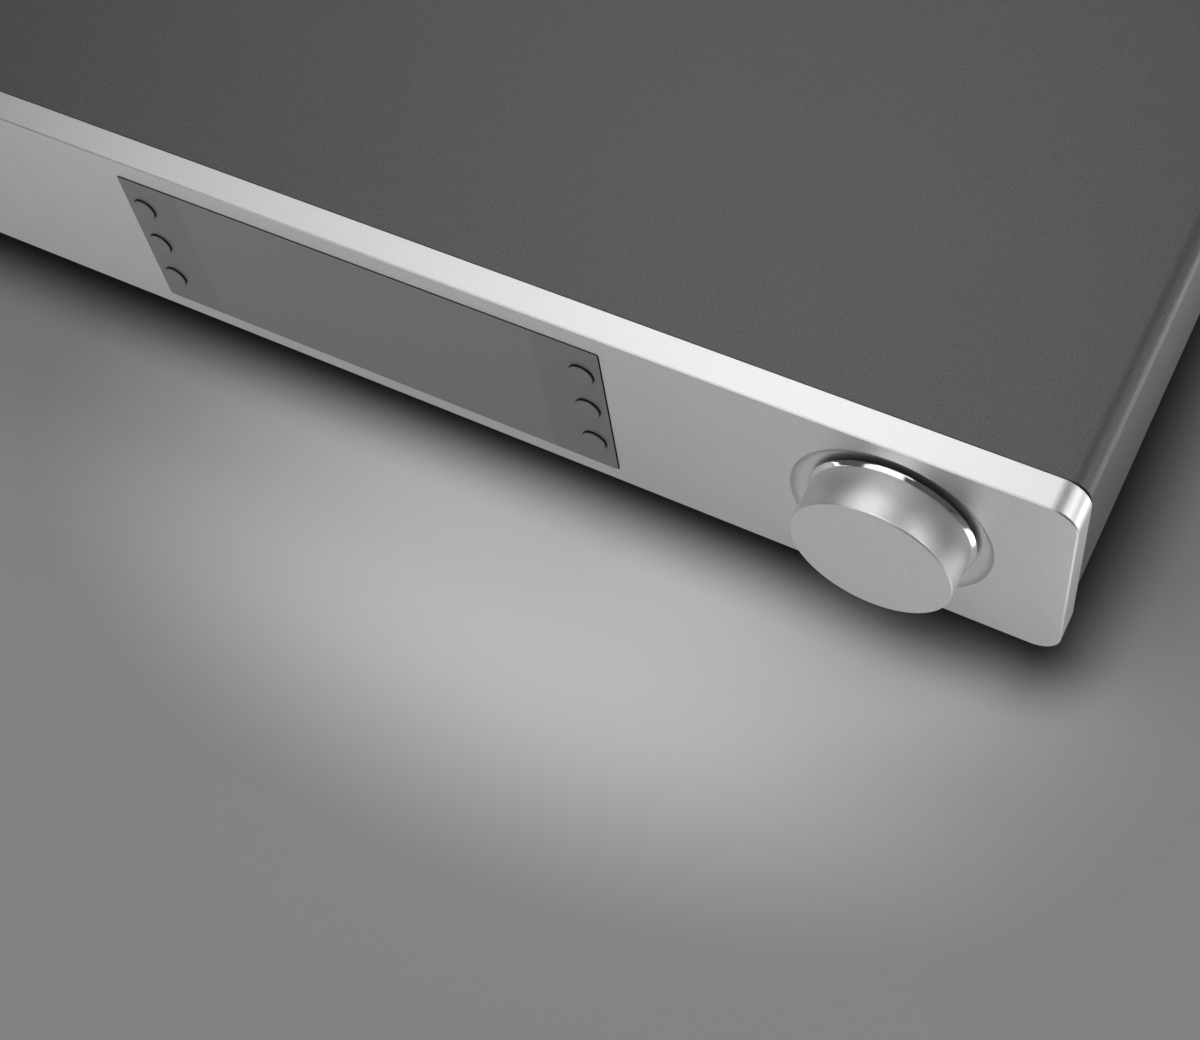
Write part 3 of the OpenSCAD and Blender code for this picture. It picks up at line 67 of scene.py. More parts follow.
# Floor and light
# A matt grey sheet under soft lamps. The pool of light and the shadow at the
# streamer's foot are painted on it for the camera, with a painted glow far off.
# Other rays meet a second tone with its own painted pool of light, and three
# glowing cards that light the streamer and show as reflections in its metal.
class Shade:
    """A socket of a material, so that a pattern is written as its formula."""

    def __init__(self, tree, socket):
        self.tree = tree
        self.socket = socket

    def node(self, kind, settings, inputs, out=0):
        made = self.tree.nodes.new(kind)
        for name, value in settings.items():
            setattr(made, name, value)
        for name, value in inputs.items():
            if isinstance(value, Shade):
                self.tree.links.new(value.socket, made.inputs[name])
            else:
                made.inputs[name].default_value = value
        return Shade(self.tree, made.outputs[out])

    def maths(self, operation, other=0.0):
        return self.node("ShaderNodeMath", {"operation": operation}, {0: self, 1: other})

    def __add__(self, other):
        return self.maths("ADD", other)

    __radd__ = __add__

    def __mul__(self, other):
        return self.maths("MULTIPLY", other)

    __rmul__ = __mul__

    def part(self, axis):
        return self.node("ShaderNodeSeparateXYZ", {}, {0: self}, "XYZ".index(axis))

    def vector(self, operation, other=(0, 0, 0), out=0):
        return self.node("ShaderNodeVectorMath", {"operation": operation}, {0: self, 1: other}, out)

    def stretched(self, x, y, z):
        return self.vector("MULTIPLY", (x, y, z))

    def moved(self, x, y, z):
        return self.vector("ADD", (x, y, z))

    def length(self):
        return self.vector("LENGTH", out=1)

    def step(self, low, high, to_low=0.0, to_high=1.0):
        return self.node("ShaderNodeMapRange", {"interpolation_type": "SMOOTHSTEP"},
                         {0: self, 1: low, 2: high, 3: to_low, 4: to_high})

    def beyond(self, x, y, inner, outer):
        """0 on a round patch about x and y, 1 past its soft edge."""
        return self.moved(-x, -y, 0).length().step(inner, outer)

    def noise(self, scale, detail=2.0, roughness=0.5):
        return self.node("ShaderNodeTexNoise", {},
                         {"Vector": self, "Scale": scale, "Detail": detail, "Roughness": roughness})

    def cells(self, scale, out=0):
        return self.node("ShaderNodeTexVoronoi", {}, {"Vector": self, "Scale": scale}, out)

    def mixed(self, first, second):
        return self.node("ShaderNodeMix", {"data_type": "RGBA"},
                         {0: self, 6: as_colour(first), 7: as_colour(second)}, 2)

    def bump(self, distance):
        return self.node("ShaderNodeBump", {}, {"Strength": 1.0, "Distance": distance, "Height": self})


def as_colour(value):
    return value if isinstance(value, Shade) else (*value, 1)


def grey(tone):
    return (tone, tone, tone)


def new_finish(name, constants):
    """A material with its fixed sockets set. Returns it, its surface and the place on the streamer."""
    material = bpy.data.materials.new(name)
    material.use_nodes = True
    tree = material.node_tree
    surface = tree.nodes["Principled BSDF"]
    for socket, value in constants.items():
        surface.inputs[socket].default_value = value
    return material, surface, Shade(tree, tree.nodes.new("ShaderNodeTexCoord").outputs["Object"])


def feed(surface, sources):
    for socket, source in sources.items():
        source.tree.links.new(source.socket, surface.inputs[socket])


floor_radius = 4
lit_tone = grey(0.96)
sheet_tone = grey(0.34)
shadow_tone = grey(0.015)
shadow_start = (0.205, 0.128)
shadow_width = 0.030
far_glow_tone = grey(0.21)
reflected_pool_tone = grey(0.77)
reflected_far_tone = grey(0.22)

floor_finish, surface, place = new_finish("floor_finish", {"Roughness": 0.75, "Specular IOR Level": 0.25})
# Painted pool of light in front of the streamer, for the camera.
pool = place.moved(-0.070, 0.155, 0).stretched(5.3, 9.2, 0).length().step(0.1, 1.1)
lit_sheet = (pool + place.noise(2.2) * 0.04).mixed(lit_tone, sheet_tone)
# Painted shadow round the streamer's foot, near black at its edge.
from_foot = place.stretched(1, 1, 0).vector("ABSOLUTE").moved(-shadow_start[0], -shadow_start[1], 0)
shadow = from_foot.vector("MAXIMUM").length().step(0.0, shadow_width)
painted = shadow.mixed(shadow_tone, lit_sheet)
# Painted pool of light that reflections see in front, with a bright patch at the right.
front_pool = place.moved(0.0, 0.20, 0).stretched(3.2, 5, 0).length().step(0.6, 1.08)
painted_reflected_pool = (front_pool * place.beyond(0.36, 0.0, 0.10, 0.19)).mixed(reflected_pool_tone, reflected_far_tone)
# Glowing patches that the camera doesn't see; they light the streamer and show in its metal.
glowing_card_side = place.beyond(0.50, 0.05, 0.15, 0.25).mixed(grey(2.0), grey(0.0))
glowing_card_right = place.beyond(0.262, -0.192, 0.03, 0.05).mixed(grey(1.4), glowing_card_side)
glowing_cards = place.beyond(-0.35, -0.50, 0.15, 0.20).mixed(grey(2.2), glowing_card_right)
seen = place.node("ShaderNodeLightPath", {}, {})
# Painted glow that brightens the far floor for the camera.
far_glow = place.length().step(0.45, 1.9).mixed(grey(0.0), far_glow_tone)
surface.inputs["Emission Strength"].default_value = 1
feed(surface, {"Base Color": seen.mixed(painted_reflected_pool, painted), "Emission Color": seen.mixed(glowing_cards, far_glow)})

floor_shape = bmesh.new()
bmesh.ops.create_circle(floor_shape, cap_ends=True, segments=96, radius=floor_radius)
floor_mesh = bpy.data.meshes.new("floor")
floor_shape.to_mesh(floor_mesh)
floor_shape.free()
floor_mesh.materials.append(floor_finish)
floor = bpy.data.objects.new("floor", floor_mesh)
bpy.context.scene.collection.objects.link(floor)

world = bpy.data.worlds.new("studio")
bpy.context.scene.world = world
world.use_nodes = True
sky = world.node_tree.nodes["Background"]
light_path = world.node_tree.nodes.new("ShaderNodeLightPath")
camera_ray = Shade(world.node_tree, light_path.outputs["Is Camera Ray"])
sky.inputs["Color"].default_value = (1, 1, 1, 1)
feed(sky, {"Strength": camera_ray * 0.15 + 0.08})


def hang_lamp(name, direction, distance, width, height, power):
    """A flat soft lamp that points at the streamer from a direction."""
    lamp = bpy.data.lights.new(name, "AREA")
    lamp.shape = "RECTANGLE"
    lamp.size = width
    lamp.size_y = height
    lamp.energy = power
    hung = bpy.data.objects.new(name, lamp)
    towards = Vector(direction).normalized()
    turn = towards.to_track_quat("Z", "Y").to_matrix().to_4x4()
    hung.matrix_world = Matrix.Translation(towards * distance) @ turn
    bpy.context.scene.collection.objects.link(hung)


hang_lamp("lamp_above", (-0.34, 0.48, 0.8), 1.3, 1.0, 0.7, 2.3)
hang_lamp("lamp_behind", (-0.04, 0.42, 0.88), 1.3, 0.7, 0.4, 1.4)
hang_lamp("lamp_near", (0.1, -0.35, 0.9), 0.6, 0.5, 0.3, 0.7)
hang_lamp("lamp_right", (0.8, 0.12, 0.45), 1.2, 0.6, 0.6, 3.2)
hang_lamp("lamp_front", (0.0, -0.6, 0.8), 1.2, 0.8, 0.8, 1.6)
hang_lamp("lamp_low", (-0.15, -0.9, 0.4), 1.2, 0.7, 0.7, 1.6)
hang_lamp("lamp_rear", (0.15, 0.97, 0.15), 1.4, 0.8, 0.4, 2.5)


# Front plate
# A thick slab of aluminium with rounded corners, milled for the window and
# dished round the knob, then blasted and anodised. Screws hold it from behind.
half_width = 0.215
plate_low = 0.0155
plate_high = 0.085
y_face = -0.1393
y_plate = -0.1298
plate_thickness = y_plate - y_face
plate_corner = 0.008
plate_chamfer = 0.0004
back_chamfer = 0.0003
rim_round = 0.00012
window = (0.164, 0.0566)
window_corner = 0.001
window_middle = (0, 0.0498)
knob_middle = (0.1661, 0.0511)
dish_floor = 0.0258
dish_depth = 0.002
cove_radius = 0.00325
cove_angle = 67.38
cove_steps = 8
web = 0.0025
pocket_radius = 0.014
bush_hole = 0.00453
standby_middle = (-0.187, 0.0511)
standby_hole = 0.0062
light_middle = (-0.187, 0.0651)
light_hole = 0.00113
plate_screw_hole = 0.00215
carrier_screw_hole = 0.00165
hole_depth = 0.006
drill_tip = 0.0005
plate_screws = [(x, 0.05025 + s * 0.02) for x in (-0.150, -0.105, 0.105, 0.1365, 0.1957) for s in (-1, 1)]
carrier_screws = [(x * 0.085, 0.0498 + s * 0.0123) for x in (-1, 1) for s in (-1, 1)]


def upright(x, y, z):
    """Turns a flat shape so that it faces the front, with its middle at x, y, z."""
    return Matrix.Translation((x, y, z)) @ Matrix.Rotation(radians(90), 4, "X")


def bevelled(shape, parts, width, segments=1, affect="EDGES", clamp=False):
    bmesh.ops.bevel(shape, geom=list(parts), offset=width, segments=segments, profile=0.5,
                    affect=affect, material=-1, clamp_overlap=clamp)


def round_outline(shape, width, height, corner, middle, steps=6):
    """A flat face with rounded corners that faces the front. Returns the face."""
    made = bmesh.ops.create_grid(shape, x_segments=1, y_segments=1, size=0.5,
                                 matrix=upright(*middle) @ Matrix.Diagonal((width, height, 1, 1)))
    bevelled(shape, made["verts"][0].link_faces[0].verts, corner, steps, "VERTICES")
    return max((f for f in shape.faces if abs(f.calc_center_median().y - middle[1]) < 1e-7
                and abs(f.calc_center_median().x - middle[0]) < width / 2), key=lambda f: len(f.verts))


def shifted(shape, made, move):
    """Moves what an extrusion has just made."""
    new_verts = [g for g in made["geom"] if isinstance(g, bmesh.types.BMVert)]
    bmesh.ops.translate(shape, verts=new_verts, vec=move)


def pushed(shape, face, depth):
    """Gives a flat face a thickness along Y."""
    shifted(shape, bmesh.ops.extrude_face_region(shape, geom=[face]), (0, depth, 0))


def outermost(shape, pick):
    """The face that lies furthest to the front, with min, or to the back, with max."""
    return pick(shape.faces, key=lambda f: f.calc_center_median().y)


def turned(shape, profile, middle, axis=(0, 1, 0), steps=96):
    """Spins a line of (radius, distance along the axis) pairs round the axis."""
    middle = Vector(middle)
    axis = Vector(axis)
    across = axis.orthogonal().normalized()
    points = [shape.verts.new(middle + across * r + axis * along) for r, along in profile]
    edges = [shape.edges.new(pair) for pair in zip(points, points[1:])]
    bmesh.ops.spin(shape, geom=points + edges, cent=middle, axis=axis, angle=2 * pi, steps=steps,
                   use_merge=True, use_duplicate=False)


def fill_plane(shape, y, reach=1.0):
    """Closes the flat area between the open rims that lie at y, as far as a reach to both sides."""
    rims = [e for e in shape.edges if len(e.link_faces) < 2
            and all(abs(v.co.y - y) < 1e-7 and abs(v.co.x) < reach for v in e.verts)]
    bmesh.ops.triangle_fill(shape, use_beauty=True, use_dissolve=False, edges=rims)


def closed(shape, *planes):
    """Merges doubles, closes the flat area at each plane and turns all faces outwards."""
    bmesh.ops.remove_doubles(shape, verts=shape.verts, dist=1e-6)
    for y in planes:
        fill_plane(shape, y)
    bmesh.ops.recalc_face_normals(shape, faces=shape.faces)


def soften(shape, width, angle=30, segments=2, edges=None):
    """Rounds the edges that are sharper than an angle."""
    sharp = [e for e in (edges or shape.edges) if len(e.link_faces) == 2
             and degrees(e.calc_face_angle(0)) > angle]
    bevelled(shape, sharp, width, segments, clamp=True)


def finished(name, shape, material, body, node):
    """Makes the piece, flat faces kept flat beside their rounded edges, and puts it in its node's place."""
    smooth_below = 32
    bmesh.ops.remove_doubles(shape, verts=shape.verts, dist=1e-6)
    bmesh.ops.dissolve_degenerate(shape, dist=1e-7, edges=shape.edges)
    bmesh.ops.recalc_face_normals(shape, faces=shape.faces)
    for face in shape.faces:
        face.smooth = True
    for edge in shape.edges:
        edge.smooth = len(edge.link_faces) == 2 and degrees(edge.calc_face_angle(0)) < smooth_below
    mesh = bpy.data.meshes.new(name)
    shape.to_mesh(mesh)
    shape.free()
    mesh.materials.append(material)
    piece = bpy.data.objects.new(name, mesh)
    bpy.context.scene.collection.objects.link(piece)
    shading = piece.modifiers.new("even_shading", "WEIGHTED_NORMAL")
    shading.keep_sharp = True
    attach(piece, body)
    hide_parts(node)


blasted_aluminium, surface, place = new_finish("blasted_aluminium", {"Metallic": 1.0})
grain = place.noise(2600, 2, 0.6)
cloud = place.noise(60, 3)
feed(surface, {
    "Base Color": (cloud * 0.15 + grain * 0.85).mixed((0.62, 0.62, 0.625), (0.96, 0.96, 0.965)),
    "Roughness": grain * 0.12 + cloud * 0.03 + 0.34,
    "Normal": grain.bump(0.00002),
})

shape = bmesh.new()
plate_middle = (0, y_face, (plate_low + plate_high) / 2)
face = round_outline(shape, 2 * half_width, plate_high - plate_low, plate_corner, plate_middle, 12)
pushed(shape, face, plate_thickness)
bevelled(shape, outermost(shape, min).edges, plate_chamfer)
bevelled(shape, outermost(shape, max).edges, back_chamfer)
ends = [outermost(shape, min), outermost(shape, max)]
bmesh.ops.delete(shape, geom=ends, context="FACES_ONLY")
hole = round_outline(shape, *window, window_corner, (window_middle[0], y_face, window_middle[1]))
pushed(shape, hole, plate_thickness)
ends = [f for f in shape.faces if len(f.verts) > 8 and abs(f.normal.y) > 0.9]
bmesh.ops.delete(shape, geom=ends, context="FACES_ONLY")
cove_turns = [radians(step * cove_angle / cove_steps) for step in range(cove_steps, -1, -1)]
cove = [(dish_floor + cove_radius * sin(a), dish_depth - cove_radius * (1 - cos(a))) for a in cove_turns]
turned(shape, cove + [(bush_hole, dish_depth), (bush_hole, dish_depth + web),
                      (pocket_radius, dish_depth + web), (pocket_radius, plate_thickness)],
       (knob_middle[0], y_face, knob_middle[1]), steps=128)
for radius, (x, z), steps in ((standby_hole, standby_middle, 64), (light_hole, light_middle, 32)):
    turned(shape, [(radius, 0), (radius, plate_thickness)], (x, y_face, z), steps=steps)
for radius, places in ((plate_screw_hole, plate_screws), (carrier_screw_hole, carrier_screws)):
    for x, z in places:
        turned(shape, [(radius, 0), (radius, -hole_depth), (0, -hole_depth - drill_tip)],
               (x, y_plate, z), steps=24)
closed(shape, y_face, y_plate)
front_edges = [e for e in shape.edges if max(v.co.y for v in e.verts) < y_face + 1e-5]
soften(shape, rim_round, 20, 2, front_edges)
finished("plate", shape, blasted_aluminium, "case", "front_plate")


# Cover
# A sheet of steel folded down over both sides and, at the back, into a lip
# for four screws. It is painted dark grey with a fine, slightly rough grain.
cover_half = 0.2145
cover_top = 0.0844
cover_low = 0.0343
cover_front = -0.1294
y_rear = 0.1407
cover_bend = 0.0055
flat_half = cover_half - cover_bend
sheet = 0.0012
lip = 0.009
lip_bend = 0.0016
lip_hole = 0.00165
lip_screws = [(x, 0.0795) for x in (-0.15, -0.05, 0.05, 0.15)]

cover_paint, surface, place = new_finish("cover_paint", {"Specular IOR Level": 0.8})
fleck = place.noise(2300, 2, 0.6)
blotch = place.noise(25, 3)
feed(surface, {
    "Base Color": (fleck.step(0.25, 0.75) * 0.9 + blotch * 0.1).mixed((0.030, 0.030, 0.031),
                                                                      (0.098, 0.098, 0.100)),
    "Roughness": fleck * 0.12 + 0.37,
    "Normal": place.noise(1700, 3, 0.65).bump(0.00009),
})

shape = bmesh.new()
corners = [(-cover_half, cover_low), (-cover_half, cover_top),
           (cover_half, cover_top), (cover_half, cover_low)]
points = [shape.verts.new((x, cover_front, z)) for x, z in corners]
edges = [shape.edges.new(pair) for pair in zip(points, points[1:])]
shifted(shape, bmesh.ops.extrude_edge_only(shape, edges=edges), (0, y_rear - cover_front, 0))
bends = [e for e in shape.edges if all(v.co.z > cover_top - 1e-6 for v in e.verts)
         and abs(e.verts[0].co.x - e.verts[1].co.x) < 1e-6]
bevelled(shape, bends, cover_bend, 10)
for side in (-1, 1):
    bmesh.ops.bisect_plane(shape, geom=shape.verts[:] + shape.edges[:] + shape.faces[:],
                           plane_co=(side * (flat_half - 0.0015), 0, 0), plane_no=(1, 0, 0))
rear_edge = [e for e in shape.edges
             if all(v.co.y > y_rear - 1e-6 and v.co.z > cover_top - 1e-6
                    and abs(v.co.x) < flat_half - 0.001 for v in e.verts)]
shifted(shape, bmesh.ops.extrude_edge_only(shape, edges=rear_edge), (0, 0, -lip))
bevelled(shape, rear_edge, lip_bend, 4)
lip_face = min((f for f in shape.faces if abs(f.calc_center_median().y - y_rear) < 1e-6),
               key=lambda f: f.calc_center_median().z)
bmesh.ops.delete(shape, geom=[lip_face], context="FACES_ONLY")
for x, z in lip_screws:
    bmesh.ops.create_circle(shape, segments=24, radius=lip_hole, matrix=upright(x, y_rear, z))
fill_plane(shape, y_rear, flat_half - 0.001)
bmesh.ops.recalc_face_normals(shape, faces=shape.faces)
top_faces = [f for f in shape.faces if f.calc_center_median().z > cover_top - 1e-6]
if top_faces[0].normal.z < 0:
    bmesh.ops.reverse_faces(shape, faces=shape.faces)
bmesh.ops.solidify(shape, geom=shape.faces, thickness=sheet)
soften(shape, 0.00018, 60, 2)
finished("cover", shape, cover_paint, "case", "top_cover")


# Lens
# A plate of tinted acrylic stands 0.35 mm out of the window, with a satin face
# and its edge painted black: painted shade for the dark line round the window.
# The buttons come through six round holes, and the display shows through it.
y_lens = -0.13965
lens_thickness = 0.00385
lens_size = (0.1634, 0.056)
lens_corner = 0.0007
hole_radius = 0.004
button_columns = (-0.0754, 0.0754)
button_rows = (0.0661, 0.0499, 0.0337)

lens_acrylic, surface, place = new_finish("lens_acrylic", {"Specular IOR Level": 0.5})
satin = place.noise(2800, 2)
beside_screen = place.part("X").maths("ABSOLUTE").step(0.0601, 0.0612)
tint = (beside_screen * 0.6 + satin * 0.4).mixed((0.255, 0.255, 0.258), (0.210, 0.210, 0.213))
# Its sides, behind the front face, are painted near black as painted shade.
painted_shade_rim = place.part("Y").step(y_lens + 0.00012, y_lens + 0.00022)
feed(surface, {
    "Base Color": painted_shade_rim.mixed(tint, grey(0.005)),
    "Roughness": satin * 0.06 + 0.30,
    "Normal": satin.bump(0.000008),
})

shape = bmesh.new()
face = round_outline(shape, *lens_size, lens_corner, (0, y_lens, window_middle[1]))
pushed(shape, face, lens_thickness)
ends = [f for f in shape.faces if len(f.verts) > 8]
bmesh.ops.delete(shape, geom=ends, context="FACES_ONLY")
for x in button_columns:
    for z in button_rows:
        turned(shape, [(hole_radius, 0), (hole_radius, lens_thickness)], (x, y_lens, z), steps=48)
closed(shape, y_lens, y_lens + lens_thickness)
soften(shape, 0.0001, 60, 2)
finished("lens", shape, lens_acrylic, "case", "display_lens")


# Window buttons
# Six round caps stand out a little through the lens's holes, grey in front and
# painted black at the side: painted shade for the dark rims round them. Each
# has a collar behind the lens and a stem to its switch.
cap_radius = 0.0038
y_cap = -0.1405
cap_length = -0.13577 - y_cap
cap_collar = 0.0048
collar_end = cap_length + 0.0012
stem_radius = 0.002

button_plastic, surface, place = new_finish("button_plastic", {"Specular IOR Level": 0.5})
speck = place.noise(3200, 2)
cap_tone = speck.mixed((0.210, 0.210, 0.213), (0.250, 0.250, 0.253))
# The cap's side, behind its front, is painted near black as painted shade.
painted_shade_side = place.part("Y").step(y_cap + 0.00012, y_cap + 0.0003)
feed(surface, {
    "Base Color": painted_shade_side.mixed(cap_tone, grey(0.006)),
    "Roughness": speck * 0.08 + 0.34,
    "Normal": speck.bump(0.00001),
})

for side, x in zip(("left", "right"), button_columns):
    for level, z in zip(("top", "middle", "bottom"), button_rows):
        node = f"button_{side}_{level}"
        stem_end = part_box(node)[1].y - y_cap
        shape = bmesh.new()
        turned(shape, [(0, 0.00003), (0.0015, 0.00002), (0.0030, 0), (cap_radius, 0.0),
                       (cap_radius, cap_length), (cap_collar, cap_length),
                       (cap_collar, collar_end), (stem_radius, collar_end),
                       (stem_radius, stem_end), (0, stem_end)], (x, y_cap, z), steps=64)
        closed(shape)
        soften(shape, 0.00012, 40, 2)
        finished(f"cap_{side}_{level}", shape, button_plastic, node, node)


# Knob
# A cap turned from solid aluminium and blasted like the plate. It is hollow
# behind, and the boss in its middle is pushed onto the encoder's shaft.
knob_radius = 0.0229
y_knob = -0.1525
knob_depth = 0.0126
knob_wall = 0.0027
knob_inside = 0.0203
knob_round = 0.0006
boss_radius = 0.0064
boss_end = 0.0093
bore_radius = 0.00305
bore_end = knob_wall + 0.0001

knob_finish, surface, place = new_finish("knob_aluminium", {"Metallic": 1.0})
grain = place.noise(2600, 2, 0.6)
lathe = place.stretched(1, 40, 1).noise(900, 2)
feed(surface, {
    "Base Color": (grain * 0.8 + lathe * 0.2).mixed((0.63, 0.63, 0.635), (0.95, 0.95, 0.955)),
    "Roughness": grain * 0.12 + lathe * 0.03 + 0.38,
    "Normal": grain.bump(0.00002),
})

shape = bmesh.new()
knob_front = Vector((knob_middle[0], y_knob, knob_middle[1]))
turned(shape, [(0, 0), (knob_radius, 0), (knob_radius, knob_depth), (knob_inside, knob_depth),
               (knob_inside, knob_wall), (boss_radius, knob_wall), (boss_radius, boss_end),
               (bore_radius, boss_end), (bore_radius, bore_end), (0, bore_end)], knob_front, steps=192)
closed(shape)
front_rim = [e for e in shape.edges
             if all(v.co.y < y_knob + 1e-6 and (v.co - knob_front).length > 0.02 for v in e.verts)]
soften(shape, knob_round, 60, 4, front_rim)
soften(shape, 0.0001, 60, 2)
finished("knob_cap", shape, knob_finish, "knob", "knob")


# Trim ring
# A thin ring of bright polished metal, glued to the back edge of the knob. Its
# bevelled rim stands out past the knob and shows as a bright line round it.
ring_radius = 0.0241
ring_depth = 0.0011
ring_bevel = [(0.0231, 0.00015), (0.0237, 0.0007)]

polished, surface, place = new_finish("polished_ring", {"Metallic": 1.0})
smear = place.noise(350, 3)
feed(surface, {
    "Base Color": smear.mixed((0.86, 0.86, 0.87), (0.93, 0.93, 0.94)),
    "Roughness": smear * 0.08 + 0.05,
})

shape = bmesh.new()
turned(shape, [(knob_inside, 0), (knob_radius, 0), *ring_bevel, (ring_radius, ring_depth),
               (knob_inside, ring_depth), (knob_inside, 0)],
       (knob_middle[0], y_knob + knob_depth, knob_middle[1]), steps=192)
closed(shape)
soften(shape, 0.00008, 30, 2)
finished("trim_ring", shape, polished, "knob", "knob_trim_ring")


# Standby button and light
# A round aluminium button near the left end of the front, slightly hollow so
# that a finger finds it, and a small clear rod that a lamp lights from behind.
standby_radius = 0.006
standby_proud = 0.0006
standby_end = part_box("standby_button")[1].y - y_face
dip_depth = 0.00035
dip_steps = 6
collar_radius = 0.0074
collar_front = -0.1286 - y_face + 0.00005
collar_back = standby_end - 0.00003
pin_radius = 0.002
rod_radius = 0.0011
rod_seat = (0.005, 0.0021, 0.004)


def block(shape, low, high, width):
    """A box between two corners with rounded edges."""
    size = [b - a for a, b in zip(low, high)]
    middle = [(a + b) / 2 for a, b in zip(low, high)]
    place = Matrix.Translation(middle) @ Matrix.Diagonal((*size, 1))
    made = bmesh.ops.create_cube(shape, size=1, matrix=place)
    if width:
        bevelled(shape, {e for v in made["verts"] for e in v.link_edges}, width, 2)


shape = bmesh.new()
dip = [(standby_radius * t / dip_steps, -standby_proud + dip_depth * (1 - (t / dip_steps) ** 2))
       for t in range(dip_steps)]
turned(shape, dip + [(standby_radius, -standby_proud), (standby_radius, collar_front),
                     (collar_radius, collar_front), (collar_radius, collar_back),
                     (pin_radius, collar_back), (pin_radius, standby_end), (0, standby_end)],
       (standby_middle[0], y_face, standby_middle[1]), steps=96)
closed(shape)
soften(shape, 0.0003, 50, 3)
finished("standby_cap", shape, knob_finish, "standby_button", "standby_button")

clear_rod, surface, place = new_finish("clear_rod", {"Transmission Weight": 0.35, "IOR": 1.49})
milk = place.noise(3000, 2)
feed(surface, {
    "Base Color": milk.mixed((0.55, 0.56, 0.58), (0.72, 0.73, 0.75)),
    "Roughness": milk * 0.15 + 0.25,
})
shape = bmesh.new()
rod_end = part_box("standby_light")[1].y
seat_front = rod_end - rod_seat[1]
turned(shape, [(0, -0.0002), (0.0005, -0.00016), (0.0009, -0.00004), (rod_radius, 0.00015),
               (rod_radius, seat_front - y_face), (0, seat_front - y_face)],
       (light_middle[0], y_face, light_middle[1]), steps=48)
block(shape, (light_middle[0] - rod_seat[0] / 2, seat_front, light_middle[1] - rod_seat[2] / 2),
      (light_middle[0] + rod_seat[0] / 2, rod_end, light_middle[1] + rod_seat[2] / 2), 0.0002)
finished("standby_rod", shape, clear_rod, "case", "standby_light")


# Feet
# Four moulded feet with a groove round them, each held by one screw through
# its middle. A rubber pad is glued into the hollow under each foot.
foot_radius = 0.021
groove_radius = 0.0202
groove_low = 0.003
groove_high = 0.0042
screw_hole = 0.00215
head_radius = 0.0042
head_seat = 0.00474
hollow_radius = 0.01603
hollow_depth = 0.0014
pad_radius = 0.016
pad_proud = 0.002
pad_thickness = 0.00337
z_tray = 0.0175
foot_places = {"front_left": (-0.168, -0.0913), "front_right": (0.168, -0.0913),
               "rear_left": (-0.168, 0.0987), "rear_right": (0.168, 0.0987)}

foot_plastic, surface, place = new_finish("foot_plastic", {"Specular IOR Level": 0.5})
spark = place.noise(1800, 3, 0.6)
feed(surface, {
    "Base Color": spark.mixed((0.018, 0.018, 0.019), (0.034, 0.034, 0.035)),
    "Roughness": spark * 0.15 + 0.40,
    "Normal": spark.bump(0.00004),
})
pad_rubber, surface, place = new_finish("pad_rubber", {"Specular IOR Level": 0.3})
dust = place.noise(700, 4, 0.65)
feed(surface, {
    "Base Color": dust.mixed(grey(0.014), (0.045, 0.044, 0.043)),
    "Roughness": dust * 0.2 + 0.7,
    "Normal": dust.bump(0.00008),
})

foot_height = z_tray - pad_proud
for corner, (x, y) in foot_places.items():
    shape = bmesh.new()
    turned(shape, [(screw_hole, head_seat), (head_radius, head_seat), (head_radius, hollow_depth),
                   (hollow_radius, hollow_depth), (hollow_radius, 0), (foot_radius, 0),
                   (foot_radius, groove_low), (groove_radius, groove_low), (groove_radius, groove_high),
                   (foot_radius, groove_high), (foot_radius, foot_height), (screw_hole, foot_height),
                   (screw_hole, head_seat)], (x, y, pad_proud), axis=(0, 0, 1), steps=96)
    closed(shape)
    soften(shape, 0.0003, 50, 3)
    finished(f"foot_{corner}_body", shape, foot_plastic, "case", f"foot_{corner}")

shape = bmesh.new()
for x, y in foot_places.values():
    turned(shape, [(0, 0.0004), (0.0035, 0.0004), (0.0045, 0), (pad_radius, 0), (pad_radius, pad_thickness),
                   (0, pad_thickness)], (x, y, 0), axis=(0, 0, 1), steps=96)
closed(shape)
soften(shape, 0.0005, 50, 3)
finished("pads", shape, pad_rubber, "case", "foot_pads")


# Front frame
# A galvanised steel frame, folded at its lower edge, joins the front plate to
# the tray. The plate's screws go through it from behind.
def merged_copy(node):
    shape = bmesh.new()
    shape.from_mesh(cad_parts[node].data)
    bmesh.ops.remove_doubles(shape, verts=shape.verts, dist=1e-6)
    return shape


def solids_of(shape):
    """The separate solids of a shape, as lists of their vertices."""
    left = set(shape.verts)
    while left:
        found = [left.pop()]
        for vert in found:
            for edge in vert.link_edges:
                other = edge.other_vert(vert)
                if other in left:
                    left.remove(other)
                    found.append(other)
        yield found


def soft_copy(name, node, material, body, width, angle=30, segments=2, only=None):
    """A node's solids with rounded edges, in its place: all, or those with a wanted count of corners."""
    shape = merged_copy(node)
    if only:
        for verts in list(solids_of(shape)):
            if not only(len(verts)):
                bmesh.ops.delete(shape, geom=verts, context="VERTS")
    bmesh.ops.dissolve_limit(shape, angle_limit=radians(1), use_dissolve_boundaries=False,
                             verts=shape.verts, edges=shape.edges, delimit=set())
    soften(shape, width, angle, segments)
    bmesh.ops.triangulate(shape, faces=[f for f in shape.faces if len(f.verts) > 4])
    finished(name, shape, material, body, node)


